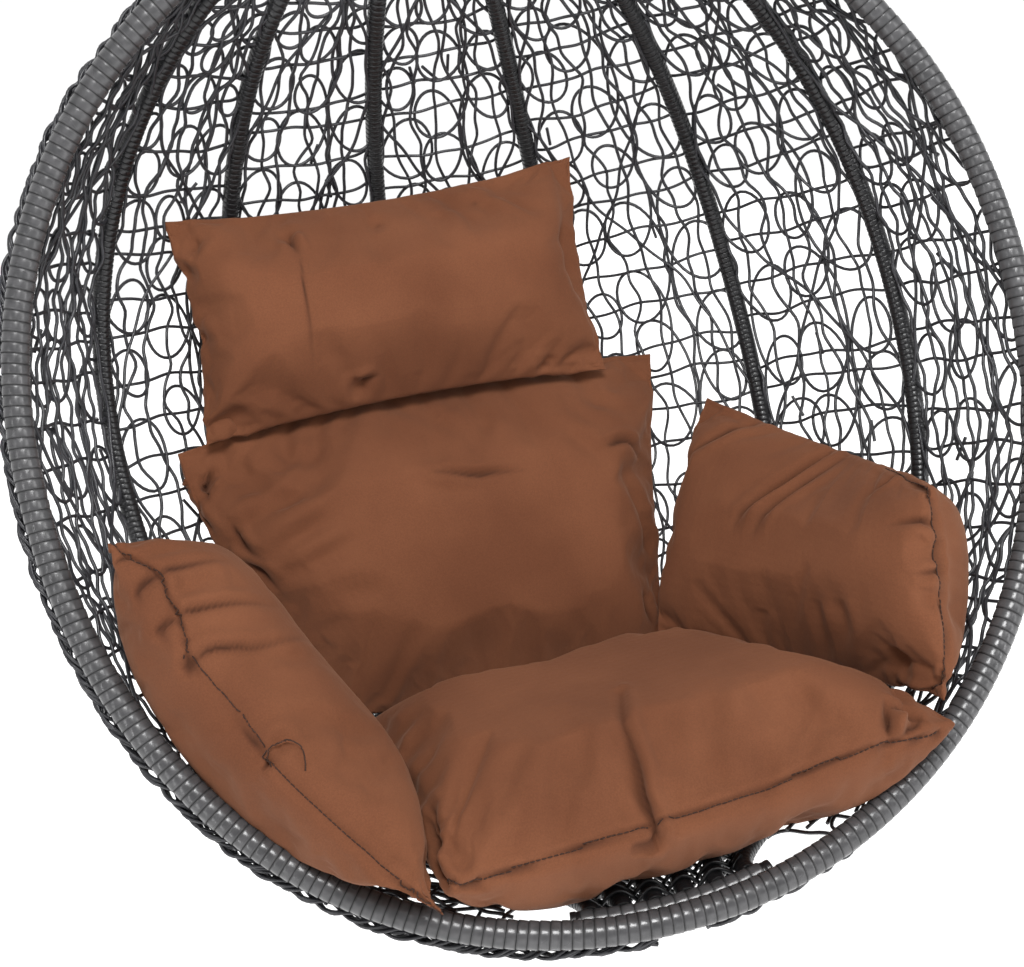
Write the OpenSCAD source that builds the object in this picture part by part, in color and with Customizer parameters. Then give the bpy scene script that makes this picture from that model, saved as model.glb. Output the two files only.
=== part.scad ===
// Hanging chair: an egg-shaped woven basket on a swivel hanger, with five loose cushions.
// The origin is the centre of the upper eye's hole, +Z is up and the opening faces -Y.
// The shell is drawn in the basket's own frame, from its widest level, and then hung from its crown.

/* [Basket shell] */
// Half width of the opening at its widest level, to the hoop's centre line
half_width = 520; // [480:5:560]
// Rise of the shell's dome curve above the widest level
dome_rise = 512; // [480:4:560]
// Drop of the hoop below the widest level
base_drop = 544; // [500:4:590]
// Roundness of the upper half, where 2 is an ellipse
dome_power = 2.04; // [1.9:0.02:2.2]
// Roundness of the lower half, where 2 is an ellipse
base_power = 2.15; // [2:0.05:2.4]
// Depth of the shell behind the hoop at the widest level
shell_depth = 455; // [420:5:490]
// Power by which the depth falls towards the crown
dome_fall = 1.96; // [1.6:0.02:2.1]
// Power by which the depth falls towards the base
base_fall = 1; // [0.9:0.05:1.2]
// Fullness of the level cross-section, where 2 is an ellipse
plan_power = 1.84; // [1.7:0.02:2.1]
// Lean of the hoop in the basket's frame, in degrees
hoop_lean = 9.4; // [6:0.2:14]
// How far the hoop's top curls forward of its sides
top_bow = 113; // [80:1:130]
// How far the hoop's base curls forward of its sides
base_bow = 73; // [50:1:90]
// Forward tilt that puts the weight under the eye, in degrees
hang_tilt = 6.7; // [4:0.1:10]
// Sideways tilt that puts the weight under the eye, in degrees
side_tilt = 1.8; // [0:0.1:3]

/* [Tubes] */
// Diameter of the front hoop over its wrapping
hoop_d = 28; // [24:1:29]
// Diameter of a back rib over its wrapping
rib_d = 20.5; // [16:0.5:21]
// Half length of the base bar behind the hoop
bar_half = 103; // [98:1:120]
// Spacing of the ribs' lower ends along the base bar
rib_foot_gap = 33; // [30:1:36]

/* [Crown] */
// Height of the crown above the widest level
crown_rise = 590; // [570:5:630]
// Setback of the crown from the hoop's leaning plane
crown_setback = 20; // [0:2:50]
// Radius of the circle on which the tubes reach the crown
crown_ring_r = 62; // [60:1:70]
// Slope at which the tubes reach the crown, in degrees
crown_slope = 40; // [34:1:50]
// Thickness of the crown cap at its rim
cap_rim = 10; // [8:1:16]
// Width of the cap beyond the tubes' circle
cap_margin = 11; // [11:1:16]

/* [Weave] */
// Diameter of the round cane
cane_d = 4; // [3:0.5:5]
// Number of level rows in each panel
row_count = 34; // [30:1:38]
// Radius of the loops in a looping strand
loop_r = 27; // [20:1:28]
// Spacing of the loops along a looping strand
loop_pitch = 66; // [62:1:72]
// Lengths of cane that make up one looping strand
strand_lengths = 3; // [2:1:4]

/* [Hanger] */
// Radius of the upper eye's hole
eye_hole_r = 11; // [9:0.5:14]
// Width of the ring of steel round the eye's hole
eye_wall = 9; // [8:0.5:12]
// Thickness of the eye
eye_t = 10; // [8:0.5:12]
// Radius of the eye's shank
shank_r = 6; // [5:0.25:7]
// Radius of the swivel barrel
barrel_r = 17; // [16.5:0.5:20]
// Height of the swivel barrel
barrel_h = 34; // [32:1:40]
// Wall of the swivel barrel
barrel_wall = 5; // [4:0.25:6]
// Radius of the rod of the swivel's ring
ring_rod_r = 4.5; // [4:0.25:5]
// Centre-line radius of the swivel's ring
ring_r = 14; // [13.5:0.5:16]
// Radius of the snap hook's rod
hook_rod_r = 4; // [3.5:0.25:4.25]
// Centre-line radius of the snap hook's ends
hook_r = 14; // [13.5:0.5:16]
// Length of the snap hook's straight sides
hook_side = 44; // [42:1:60]
// Radius of the hanging loop's rod
loop_rod_r = 5; // [4.5:0.25:5.5]
// Centre-line radius of the hanging loop
hang_loop_r = 16; // [15.5:0.5:18]

/* [Cushions] */
// Thickness of the headrest pillow
head_t = 92; // [76:2:100]
// Thickness of the back cushion
back_t = 96; // [80:2:98]
// Thickness of the seat cushion
seat_t = 132; // [110:2:134]
// Thickness of the left arm cushion
arm_left_t = 144; // [118:1:144]
// Thickness of the right arm cushion
arm_right_t = 132; // [108:1:132]

/* [Hidden] */
$fn = 48;

// Running and seating clearances
seat_gap = 0.3;
fit_gap = 0.05;

// Shares of the half width at which hoop and ribs stand, from left to right
shares = [-1, -0.886, -0.61, -0.215, 0.215, 0.61, 0.886, 1];
last_rib = len(shares) - 1;
hoop_r = hoop_d / 2;
rib_r = rib_d / 2;
cane_r = cane_d / 2;

// Turns, in degrees from the crown, at which a rib leaves the crown, follows the shell and leaves it
crown_turn = 8;
dome_turn = 37;
base_turn = 138;
foot_turn = 172;
first_row_turn = 14;
last_row_turn = 160;

// Levels of the hanger, from the eye down
shank_top = -(eye_hole_r + eye_wall) + 3;
barrel_top = shank_top - 10;
barrel_low = barrel_top - barrel_h;
top_plate = 6;
washer_t = 3;
nut_t = 9;
nut_top = barrel_top - top_plate - seat_gap - washer_t - seat_gap;
shank_low = nut_top - nut_t - 3;
base_plug = 9;
base_plate = 3;
ring_z = barrel_low - ring_r + 2;
ring_rod_z = ring_z - ring_r;
hook_top_z = ring_rod_z + ring_rod_r + hook_rod_r + seat_gap;
hook_high_z = hook_top_z - hook_r;
hook_low_z = hook_high_z - hook_side;
hook_rod_z = hook_low_z - hook_r;
gate_foot_z = hook_low_z + 4;
gate_head_z = hook_high_z - 6;
loop_top_z = hook_rod_z + hook_rod_r + loop_rod_r + seat_gap;
loop_arc_z = loop_top_z - hang_loop_r;
cap_dome = 13;
cap_wall = 5;
cap_top_z = loop_arc_z - 16;
cap_rim_z = cap_top_z - cap_dome;
crown_z = cap_rim_z - cap_rim - seat_gap;

function unit(v) = v / norm(v);
function mix(a, b, f) = a + (b - a) * f;
function power_of(x, p) = x <= 0 ? 0 : pow(x, p);

// The shell in the basket's frame. turn runs from 0 at the crown to 180 at the base.
function roundness(turn) = turn < 90 ? dome_power : base_power;
function girth(turn) = power_of(sin(turn), 2 / roundness(turn));
function level(turn) = turn < 90
    ? dome_rise * power_of(cos(turn), 2 / dome_power)
    : -base_drop * power_of(-cos(turn), 2 / base_power);
base_ease = 0.2;
function eased_girth(g) = sqrt((g * g + base_ease * base_ease) / (1 + base_ease * base_ease));
function hoop_y(turn) = tan(hoop_lean) * level(turn)
    - (turn < 90 ? top_bow * (1 - girth(turn)) : base_bow * (1 - eased_girth(girth(turn))));
function depth(turn, share) = shell_depth
    * power_of(girth(turn), turn < 90 ? dome_fall : base_fall)
    * power_of(1 - power_of(abs(share), plan_power), 1 / plan_power);
function shell(share, turn) =
    [half_width * girth(turn) * share, hoop_y(turn) + depth(turn, share), level(turn)];

// The hung frame: the basket turns about its crown, which hangs under the eye.
crown_at = [0, crown_setback, crown_rise];
function tilted(q) = [q.x, q.y * cos(hang_tilt) + q.z * sin(hang_tilt), q.z * cos(hang_tilt) - q.y * sin(hang_tilt)];
function hung(p) = let (q = tilted(p - crown_at))
    [q.x * cos(side_tilt) - q.z * sin(side_tilt), q.y, q.z * cos(side_tilt) + q.x * sin(side_tilt) + crown_z];
function hung_shell(share, turn) = hung(shell(share, turn));
function shell_speed(share, turn) = hung_shell(share, turn + 0.5) - hung_shell(share, turn - 0.5);
function hermite(p0, m0, p1, m1, s) =
    p0 * (2 * s * s * s - 3 * s * s + 1) + m0 * (s * s * s - 2 * s * s + s)
    + p1 * (3 * s * s - 2 * s * s * s) + m1 * (s * s * s - s * s);

// Where each tube meets the crown: on a circle, square to the cap's conical seat.
function crown_angle(i) = -90 + 180 * i / last_rib;
function crown_dir(i) =
    [-sin(crown_angle(i)) * cos(crown_slope), -cos(crown_angle(i)) * cos(crown_slope), sin(crown_slope)];
function crown_seat(i) =
    [crown_ring_r * sin(crown_angle(i)), crown_ring_r * cos(crown_angle(i)), crown_z - 12];
// Each end is straight for a short length, so that it is cut square to its seat.
crown_reach = 240;
end_stub = 6;
function crown_curve(i, turn) = let (s = (dome_turn - turn) / (dome_turn - crown_turn))
    hermite(hung_shell(shares[i], dome_turn), -shell_speed(shares[i], dome_turn) * (dome_turn - crown_turn),
        crown_seat(i) - crown_dir(i) * end_stub, crown_dir(i) * crown_reach, s);

// The base bar lies behind the hoop, and the ribs' feet butt on it from behind.
bar_r = rib_r;
bar_sag = 0.3;
bar_behind = hoop_r + bar_r + bar_sag + seat_gap;
function turn_at(x) = 180 - asin(power_of(abs(x) / half_width, base_power / 2));
function bar_point(x) = hung([x, hoop_y(turn_at(x)), level(turn_at(x))]) + [0, bar_behind, 0];
function bar_dir(x) = unit(bar_point(x + 1) - bar_point(x - 1));
function foot_x(i) = (i - last_rib / 2) * rib_foot_gap;
function foot_out(i) = let (d = bar_dir(foot_x(i))) unit([0, 1, 0] - d.y * d);
function rib_foot(i) = bar_point(foot_x(i)) + foot_out(i) * (bar_r + bar_sag + seat_gap);
foot_reach = 210;
function foot_curve(i, turn) = let (s = (turn - base_turn) / (foot_turn - base_turn))
    hermite(hung_shell(shares[i], base_turn), shell_speed(shares[i], base_turn) * (foot_turn - base_turn),
        rib_foot(i) + foot_out(i) * end_stub, -foot_out(i) * foot_reach, s);

function is_hoop(i) = i == 0 || i == last_rib;
function frame_point(i, turn) = turn < dome_turn ? crown_curve(i, turn)
    : turn <= base_turn || is_hoop(i) ? hung_shell(shares[i], turn)
    : foot_curve(i, turn);
function frame_dir(i, turn) = unit(frame_point(i, turn + 0.5) - frame_point(i, turn - 0.5));

// A tube along a path. ref gives the direction of each ring's first corner.
function path_dir(path, i) = unit(path[min(i + 1, len(path) - 1)] - path[max(i - 1, 0)]);
function ring_points(p, dir, ref, r, sides) =
    let (a = unit(ref - (ref * dir) * dir), b = cross(dir, a))
    [for (k = [0 : sides - 1]) p + r * (cos(360 * k / sides) * a + sin(360 * k / sides) * b)];
module tube(path, refs, r, sides) {
    count = len(path);
    points = [for (i = [0 : count - 1]) each ring_points(path[i], path_dir(path, i), refs[i], r, sides)];
    walls = [for (i = [0 : count - 2], k = [0 : sides - 1])
        let (a = i * sides + k, b = i * sides + (k + 1) % sides)
        each [[a, a + sides, b + sides], [a, b + sides, b]]];
    start = [for (k = [0 : sides - 1]) k];
    end = [for (k = [sides - 1 : -1 : 0]) (count - 1) * sides + k];
    polyhedron(points = points, faces = concat([start], walls, [end]));
}

// What butts on a tube is set off its circle, and from the line of its own straight steps.
rib_sides = 10;
hoop_sides = 10;
rib_steps = 30;
hoop_steps = 78;
function seat_r(i) = is_hoop(i) ? hoop_r : rib_r;
function tube_step(i) = is_hoop(i)
    ? (360 - 2 * crown_turn) / hoop_steps
    : (foot_turn - crown_turn) / rib_steps;
function stepped_point(i, turn) = let (
        step = tube_step(i),
        count = floor((turn - crown_turn) / step),
        from = crown_turn + count * step)
    mix(frame_point(i, from), frame_point(i, from + step), (turn - from) / step);

module rib(i) {
    turns = [for (k = [0 : rib_steps]) mix(crown_turn, foot_turn, k / rib_steps)];
    path = concat([crown_seat(i)], [for (turn = turns) frame_point(i, turn)], [rib_foot(i)]);
    side = [cos(crown_angle(i)), -sin(crown_angle(i)), 0];
    color("#2b2b2d") tube(path, [for (p = path) side], rib_r, rib_sides);
}

module front_hoop() {
    turns = [for (k = [0 : hoop_steps]) mix(crown_turn, 360 - crown_turn, k / hoop_steps)];
    round = [for (turn = turns)
        turn <= 180 ? frame_point(0, turn) : frame_point(last_rib, 360 - turn)];
    path = concat([crown_seat(0)], round, [crown_seat(last_rib)]);
    color("#3a3a3d") tube(path, [for (p = path) [0, 1, 0]], hoop_r, hoop_sides);
}

module base_bar() {
    bar_steps = 8;
    path = [for (k = [0 : bar_steps]) bar_point(mix(-bar_half, bar_half, k / bar_steps))];
    color("#333336") tube(path, [for (p = path) [0, 1, 0]], bar_r, hoop_sides);
}

// A row is one straight length of cane, drawn tight from tube to tube.
function row_trim(i, turn, dir) = let (along = abs(frame_dir(i, turn) * dir), across = sqrt(1 - along * along))
    (seat_r(i) + cane_r * along) / across + seat_gap;
module rod(a, b, r) {
    d = b - a;
    translate(a)
        rotate([0, acos(d.z / norm(d)), atan2(d.y, d.x)])
            cylinder(r = r, h = norm(d), $fn = 6);
}
module row(i, turn) {
    a = stepped_point(i, turn);
    b = stepped_point(i + 1, turn);
    dir = unit(b - a);
    rod(a + dir * row_trim(i, turn, dir), b - dir * row_trim(i + 1, turn, dir), cane_r);
}

// A looping strand runs down a panel behind its rows, and crosses over itself at each loop.
panel_speed = half_width * PI / 180;
loop_points = 8;
loop_cross = 3;
strand_corner_r = cane_r * 1.15;
strand_behind = cane_r + strand_corner_r / 2 + loop_cross;
strand_side = 0.31;
strand_end = 146;
strand_gap = 1.2;
function panel_point(i, turn, f) = mix(frame_point(i, turn), frame_point(i + 1, turn), f);
function panel_width(i, turn) = norm(frame_point(i + 1, turn) - frame_point(i, turn));
function panel_out(i, turn) =
    unit(cross(frame_point(i + 1, turn) - frame_point(i, turn), frame_dir(i, turn) + frame_dir(i + 1, turn)));
function strand_start(i) = i == 0 || i == last_rib - 1 ? 42 : 27;
function loop_size(i, turn) = min(loop_r, panel_width(i, turn) * 0.12);
function strand_point(i, f, turn, phase) = let (
        size = loop_size(i, turn),
        at = turn - sin(phase) * size / panel_speed,
        across = f + cos(phase) * size / panel_width(i, turn))
    panel_point(i, at, across) + panel_out(i, at) * (strand_behind + loop_cross * sin(phase));
module strand(i, f, from, to) {
    loops = (to - from) * panel_speed / loop_pitch;
    steps = ceil(loops * loop_points);
    path = [for (k = [0 : steps])
        strand_point(i, f, mix(from, to, k / steps), 360 * loops * k / steps)];
    refs = [for (k = [0 : steps]) panel_out(i, mix(from, to, k / steps))];
    tube(path, refs, strand_corner_r, 3);
}
module weave(i) {
    color("#1e1e20") {
        for (k = [0 : row_count - 1])
            row(i, mix(first_row_turn, last_row_turn, k / (row_count - 1)));
        for (f = [strand_side, 1 - strand_side], k = [0 : strand_lengths - 1])
            strand(i, f, mix(strand_start(i), strand_end, k / strand_lengths),
                mix(strand_start(i), strand_end, (k + 1) / strand_lengths) - strand_gap);
    }
}

// A cushion spans four corners of its middle surface, given as left top, right top, right bottom
// and left bottom. Each is in shares of the shell: of the half width, of the depth behind the
// leaning opening, and of the rise or drop.
cushion_steps = 12;
function fitted(p) = let (z = p.z * (p.z > 0 ? dome_rise : base_drop))
    [p.x * half_width, tan(hoop_lean) * z + p.y * shell_depth, z];
function eased(k) = sin(mix(-90, 90, k / cushion_steps));
function cushion_mid(c, u, v) =
    mix(mix(c[3], c[2], (u + 1) / 2), mix(c[0], c[1], (u + 1) / 2), (v + 1) / 2);
function cushion_normal(c, u, v) =
    unit(cross(mix(c[2] - c[3], c[1] - c[0], (v + 1) / 2), mix(c[0] - c[3], c[1] - c[2], (u + 1) / 2)));
function fill_of(u, v, full) =
    pow((1 - pow(abs(u), full[0])) * (1 - pow(abs(v), full[0])), full[1]);

// front is the share of the thickness in front of the middle surface. bend moves the middle surface
// back, across and along. draw pulls its left, right, bottom and top edges in. fall thins the back across and along.
function cushion_point(c, t, front, bend, draw, fall, full, u, v, side) = let (
        a = u * (1 - draw[u < 0 ? 0 : 1] * (1 - v * v)),
        b = v * (1 - draw[v < 0 ? 2 : 3] * (1 - u * u)),
        back_share = -(1 - front) * (1 - fall[0] * u) * (1 - fall[1] * v),
        lift = t * fill_of(u, v, full) * (side > 0 ? front : back_share),
        sag = bend[0] * (1 - u * u) + bend[1] * (1 - v * v))
    hung(cushion_mid(c, a, b) + cushion_normal(c, a, b) * (lift - sag));
module cushion(corners, t, front, bend, draw, fall, full) {
    c = [for (p = corners) fitted(p)];
    n = cushion_steps;
    row_len = n + 1;
    face_len = row_len * row_len;
    // Each cell is split so that no triangle cuts a corner off, where front and back would coincide.
    cells = [for (j = [0 : n - 1], i = [0 : n - 1]) let (a = j * row_len + i, b = a + row_len)
        each (i < n / 2) == (j < n / 2) ? [[a, b, b + 1], [a, b + 1, a + 1]] : [[a, b, a + 1], [a + 1, b, b + 1]]];
    front_points = [for (j = [0 : n], i = [0 : n])
        cushion_point(c, t, front, bend, draw, fall, full, eased(i), eased(j), 1)];
    back_points = [for (j = [1 : n - 1], i = [1 : n - 1])
        cushion_point(c, t, front, bend, draw, fall, full, eased(i), eased(j), -1)];
    function back_index(a) = let (i = a % row_len, j = floor(a / row_len))
        i == 0 || i == n || j == 0 || j == n ? a : face_len + (j - 1) * (n - 1) + i - 1;
    back_cells = [for (f = cells) [back_index(f[0]), back_index(f[2]), back_index(f[1])]];
    color("#7a4428") polyhedron(points = concat(front_points, back_points), faces = concat(cells, back_cells));
}
soft_fill = [3.2, 0.55];
firm_fill = [5, 0.5];

module headrest_cushion() {
    corners = [[-0.6751, 0.4231, 0.4825], [0.2694, 0.6677, 0.4626],
        [0.2293, 0.6638, -0.0447], [-0.6936, 0.457, -0.0103]];
    cushion(corners, head_t, 0.52, [8, 0], [0.058, 0.058, 0.1, 0.1], [-0.22, 0], soft_fill);
}
module back_cushion() {
    corners = [[-0.7536, 0.4821, -0.0372], [0.3563, 0.7985, -0.0592],
        [0.2058, 0.6277, -0.6397], [-0.5158, 0.5258, -0.6278]];
    cushion(corners, back_t, 0.63, [20, 0], [-0.1, 0.02, -0.165, -0.165], [0, 0], soft_fill);
}
module seat_cushion() {
    corners = [[-0.5004, 0.4452, -0.6615], [0.2531, 0.5582, -0.688],
        [0.5788, -0.1457, -0.7849], [-0.3923, -0.2003, -0.82]];
    cushion(corners, seat_t, 0.48, [8, 0], [-0.03, -0.03, -0.15, 0], [0.15, 0.335], firm_fill);
}
module arm_cushion_left() {
    corners = [[-0.8596, -0.1035, -0.1434], [-0.7462, 0.2762, -0.2298],
        [-0.55, 0.2284, -0.7096], [-0.4346, -0.241, -0.8364]];
    cushion(corners, arm_left_t, 0.55, [0, 31], [0.02, 0.02, 0.03, 0.03], [0, -0.12], soft_fill);
}
module arm_cushion_right() {
    corners = [[0.4519, 0.6291, -0.1801], [0.6731, -0.0694, -0.3824],
        [0.5788, -0.1222, -0.7371], [0.2019, 0.5453, -0.6232]];
    cushion(corners, arm_right_t, 0.4, [46, 0], [-0.04, -0.04, 0, 0], [-0.3, -0.3], soft_fill);
}

// The upper eye is a ring of plate with a shank that turns in the barrel.
module swivel_eye() {
    eye_r = eye_hole_r + eye_wall;
    color("#b9bcc0") union() {
        difference() {
            union() {
                rotate([90, 0, 0]) cylinder(r = eye_r, h = eye_t, center = true);
                translate([0, 0, shank_top - 4]) cylinder(r = shank_r + 2.5, h = 8);
            }
            rotate([90, 0, 0]) cylinder(r = eye_hole_r, h = eye_t + 2, center = true);
            for (side = [-1, 1]) translate([0, side * eye_t / 2, 0]) rotate([90, 0, 0])
                rotate_extrude() translate([eye_r, 0]) rotate(45) square(3.2, center = true);
        }
        translate([0, 0, shank_low]) cylinder(r = shank_r, h = shank_top - shank_low);
    }
}

module lock_nut() {
    color("#8f9296") translate([0, 0, nut_top - nut_t]) difference() {
        cylinder(r = barrel_r - barrel_wall - 1, h = nut_t, $fn = 6);
        translate([0, 0, -1]) cylinder(r = shank_r + fit_gap, h = nut_t + 2);
    }
}

module thrust_washer() {
    color("#c9a25a") translate([0, 0, nut_top + seat_gap]) difference() {
        cylinder(r = barrel_r - barrel_wall - 1, h = washer_t);
        translate([0, 0, -1]) cylinder(r = shank_r + seat_gap, h = washer_t + 2);
    }
}

module swivel_barrel() {
    bore_r = barrel_r - barrel_wall;
    color("#a9acb0") rotate_extrude() polygon([
        [shank_r + seat_gap, barrel_top], [barrel_r - 3, barrel_top], [barrel_r, barrel_top - 3],
        [barrel_r, barrel_low], [bore_r, barrel_low], [bore_r, barrel_top - top_plate],
        [shank_r + seat_gap, barrel_top - top_plate]]);
}

module swivel_base() {
    color("#a9acb0") union() {
        translate([0, 0, barrel_low]) cylinder(r = barrel_r - barrel_wall - fit_gap, h = base_plug);
        translate([0, 0, barrel_low - base_plate - seat_gap]) cylinder(r = barrel_r, h = base_plate);
        translate([0, 0, barrel_low - 1]) cylinder(r = barrel_r - barrel_wall - 1, h = 2);
        difference() {
            translate([0, 0, ring_z]) rotate([90, 0, 0])
                rotate_extrude() translate([ring_r, 0]) circle(r = ring_rod_r);
            translate([0, 0, barrel_low - base_plate / 2 - seat_gap]) cylinder(r = 2 * ring_r, h = 2 * ring_r);
        }
    }
}

// The snap hook is an oval of rod whose front side opens at the gate.
module hook_bend(z, up) {
    translate([0, 0, z]) rotate([90, 0, 90]) rotate([0, 0, up ? 0 : 180])
        rotate_extrude(angle = 180) translate([hook_r, 0]) circle(r = hook_rod_r);
}
gate_ear_w = 3;
gate_pin_r = 1.6;
gate_r = hook_rod_r - 0.5;
cheek_h = 3;
gate_shoulder = cheek_h + 2;
gate_tongue = 1.7 * gate_r;
module hook_body() {
    color("#c4c7ca") difference() {
        union() {
            hook_bend(hook_high_z, true);
            hook_bend(hook_low_z, false);
            translate([0, hook_r, hook_low_z]) cylinder(r = hook_rod_r, h = hook_high_z - hook_low_z);
            translate([0, -hook_r, gate_head_z + seat_gap])
                cylinder(r = hook_rod_r, h = hook_high_z - gate_head_z - seat_gap);
            translate([0, -hook_r, hook_low_z]) cylinder(r = hook_rod_r, h = gate_foot_z - hook_low_z + cheek_h);
        }
        translate([-gate_r / 2 - seat_gap, -hook_r - hook_rod_r - 1, gate_foot_z - 4])
            cube([gate_r + 2 * seat_gap, 2 * hook_rod_r + 2, 12]);
        translate([0, -hook_r, gate_foot_z]) rotate([0, 90, 0])
            cylinder(r = gate_pin_r + fit_gap, h = 20, center = true);
    }
}
module hook_gate() {
    color("#c4c7ca") difference() {
        union() {
            translate([0, -hook_r, gate_foot_z + gate_shoulder])
                cylinder(r = gate_r, h = gate_head_z - gate_foot_z - gate_shoulder);
            translate([0, -hook_r, gate_foot_z]) rotate([0, 90, 0])
                cylinder(r = gate_r, h = gate_r, center = true);
            translate([-gate_r / 2, -hook_r - gate_tongue / 2, gate_foot_z])
                cube([gate_r, gate_tongue, gate_shoulder + 1]);
        }
        translate([0, -hook_r, gate_foot_z]) rotate([0, 90, 0])
            cylinder(r = gate_pin_r + fit_gap, h = 20, center = true);
    }
}
module gate_pin() {
    color("#8f9296") translate([0, -hook_r, gate_foot_z]) rotate([0, 90, 0])
        cylinder(r = gate_pin_r, h = 2 * hook_rod_r + 1, center = true);
}
module gate_spring() {
    color("#8f9296") translate([0, -hook_r + hook_rod_r + 0.6, gate_foot_z - 2])
        cube([1.6, 0.8, 6], center = true);
}

// The hanging loop is a bent rod on the crown cap, a hollow steel hub on whose cone the tubes end.
module hanging_loop() {
    color("#2f2f31") union() {
        translate([0, 0, loop_arc_z]) rotate([90, 0, 0])
            rotate_extrude(angle = 180) translate([hang_loop_r, 0]) circle(r = loop_rod_r);
        for (side = [-1, 1]) translate([side * hang_loop_r, 0, cap_top_z - 2])
            cylinder(r = loop_rod_r, h = loop_arc_z - cap_top_z + 2);
    }
}
module crown_cap() {
    cap_r = crown_ring_r + cap_margin;
    low_r = crown_ring_r - cap_margin;
    seat_z = crown_z - 12;
    rise = tan(90 - crown_slope);
    function seat_line(r) = seat_z + seat_gap / sin(crown_slope) + (r - crown_ring_r) * rise;
    color("#2f2f31") difference() {
        rotate_extrude() polygon([
            [low_r, seat_line(low_r)],
            [cap_r, seat_line(cap_r)],
            [cap_r, cap_rim_z],
            [hang_loop_r + loop_rod_r + 6, cap_top_z],
            [0, cap_top_z],
            [0, cap_top_z - cap_wall],
            [hang_loop_r + loop_rod_r, cap_top_z - cap_wall],
            [low_r - cap_wall, cap_rim_z - cap_wall],
            [low_r - cap_wall, seat_line(low_r)]]);
        for (side = [-1, 1]) translate([side * hang_loop_r, 0, cap_top_z - 2])
            cylinder(r = loop_rod_r + fit_gap, h = 10);
    }
}

swivel_eye();
lock_nut();
thrust_washer();
swivel_barrel();
swivel_base();
hook_body();
hook_gate();
gate_pin();
gate_spring();
hanging_loop();
crown_cap();
front_hoop();
base_bar();
rib(1);  // rib_1
rib(2);  // rib_2
rib(3);  // rib_3
rib(4);  // rib_4
rib(5);  // rib_5
rib(6);  // rib_6
weave(0);  // weave_1
weave(1);  // weave_2
weave(2);  // weave_3
weave(3);  // weave_4
weave(4);  // weave_5
weave(5);  // weave_6
weave(6);  // weave_7
headrest_cushion();
back_cushion();
seat_cushion();
arm_cushion_left();
arm_cushion_right();
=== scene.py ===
"""Looks of the hanging basket chair: wrapped tubes, looping cane, loose cushions and the hanger's metals."""

import logging
import math
import random
from dataclasses import dataclass
from enum import Enum
from functools import lru_cache
from typing import Callable, Iterable, Sequence

import bpy
import numpy as np
from mathutils import Matrix, Vector
from mathutils.bvhtree import BVHTree

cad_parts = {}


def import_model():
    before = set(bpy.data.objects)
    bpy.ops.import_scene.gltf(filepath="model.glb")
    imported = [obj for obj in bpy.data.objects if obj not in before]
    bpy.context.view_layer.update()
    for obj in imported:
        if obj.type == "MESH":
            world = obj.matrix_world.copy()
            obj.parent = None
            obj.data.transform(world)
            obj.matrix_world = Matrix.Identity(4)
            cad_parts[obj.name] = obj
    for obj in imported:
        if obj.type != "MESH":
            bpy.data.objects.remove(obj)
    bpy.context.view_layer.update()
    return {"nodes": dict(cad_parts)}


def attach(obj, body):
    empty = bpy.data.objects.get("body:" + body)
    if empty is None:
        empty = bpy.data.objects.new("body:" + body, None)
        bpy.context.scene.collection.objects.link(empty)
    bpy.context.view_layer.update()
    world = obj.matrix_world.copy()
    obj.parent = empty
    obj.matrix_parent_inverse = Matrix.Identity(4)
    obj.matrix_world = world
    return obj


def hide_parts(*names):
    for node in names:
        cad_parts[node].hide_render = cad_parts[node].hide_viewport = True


LOG = logging.getLogger("hanging_chair")
MM = 0.001
ROUND = 6.28  # a full turn of the cane's waves and loops, in radians, which needn't be exact
Point = np.ndarray
Colour = tuple[float, float, float]


# --- small helpers for working as by hand -------------------------------------------------------

def clear_selection() -> None:
    """Deselects every object, so that an operator acts only on what comes next."""
    if bpy.context.object and bpy.context.object.mode != "OBJECT":
        bpy.ops.object.mode_set(mode="OBJECT")
    bpy.ops.object.select_all(action="DESELECT")


def take(piece: bpy.types.Object) -> None:
    """Selects one object alone and makes it the active one.

    Args:
        piece: the object to work on.
    """
    clear_selection()
    piece.select_set(True)
    bpy.context.view_layer.objects.active = piece


def apply_modifier(piece: bpy.types.Object, kind: str, **settings: object) -> None:
    """Adds a modifier with its settings and applies it.

    Args:
        piece: the object that gets it.
        kind: the modifier's type.
        settings: its properties by name.
    """
    take(piece)
    modifier = piece.modifiers.new(kind.lower(), kind)
    for key, value in settings.items():
        setattr(modifier, key, value)
    bpy.ops.object.modifier_apply(modifier=modifier.name)


def smooth(piece: bpy.types.Object, angle_deg: float = 180.0) -> None:
    """Shades a piece smooth, but for edges sharper than an angle.

    Args:
        piece: the mesh object.
        angle_deg: the sharpest angle that still shades smooth.
    """
    take(piece)
    if angle_deg >= 180.0:
        bpy.ops.object.shade_smooth()
    else:
        bpy.ops.object.shade_smooth_by_angle(angle=math.radians(angle_deg))


def mix(a: Point | float, b: Point | float, share: float) -> Point | float:
    """The point or number at a share of the way from a to b."""
    return a + (b - a) * share


def unit(v: Point) -> Point:
    """A vector's direction, one long."""
    return v / np.linalg.norm(v)


def through(marks: Point, count: int) -> Point:
    """Draws a smooth line through marks.

    Args:
        marks: the marks, one row each.
        count: how many points lead from each mark to the next.

    Returns:
        The line's points.
    """
    if len(marks) < 2:
        return np.repeat(marks, 2, axis=0)
    ends = np.vstack([2 * marks[0] - marks[1], marks, 2 * marks[-1] - marks[-2]])
    s = np.linspace(0, 1, count, endpoint=False)[:, None]
    parts = [0.5 * (2 * b + (c - a) * s + (2 * a - 5 * b + 4 * c - d) * s ** 2 + (3 * b - a - 3 * c + d) * s ** 3)
             for a, b, c, d in zip(ends, ends[1:], ends[2:], ends[3:])]
    return np.vstack([*parts, marks[-1:]])


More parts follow.
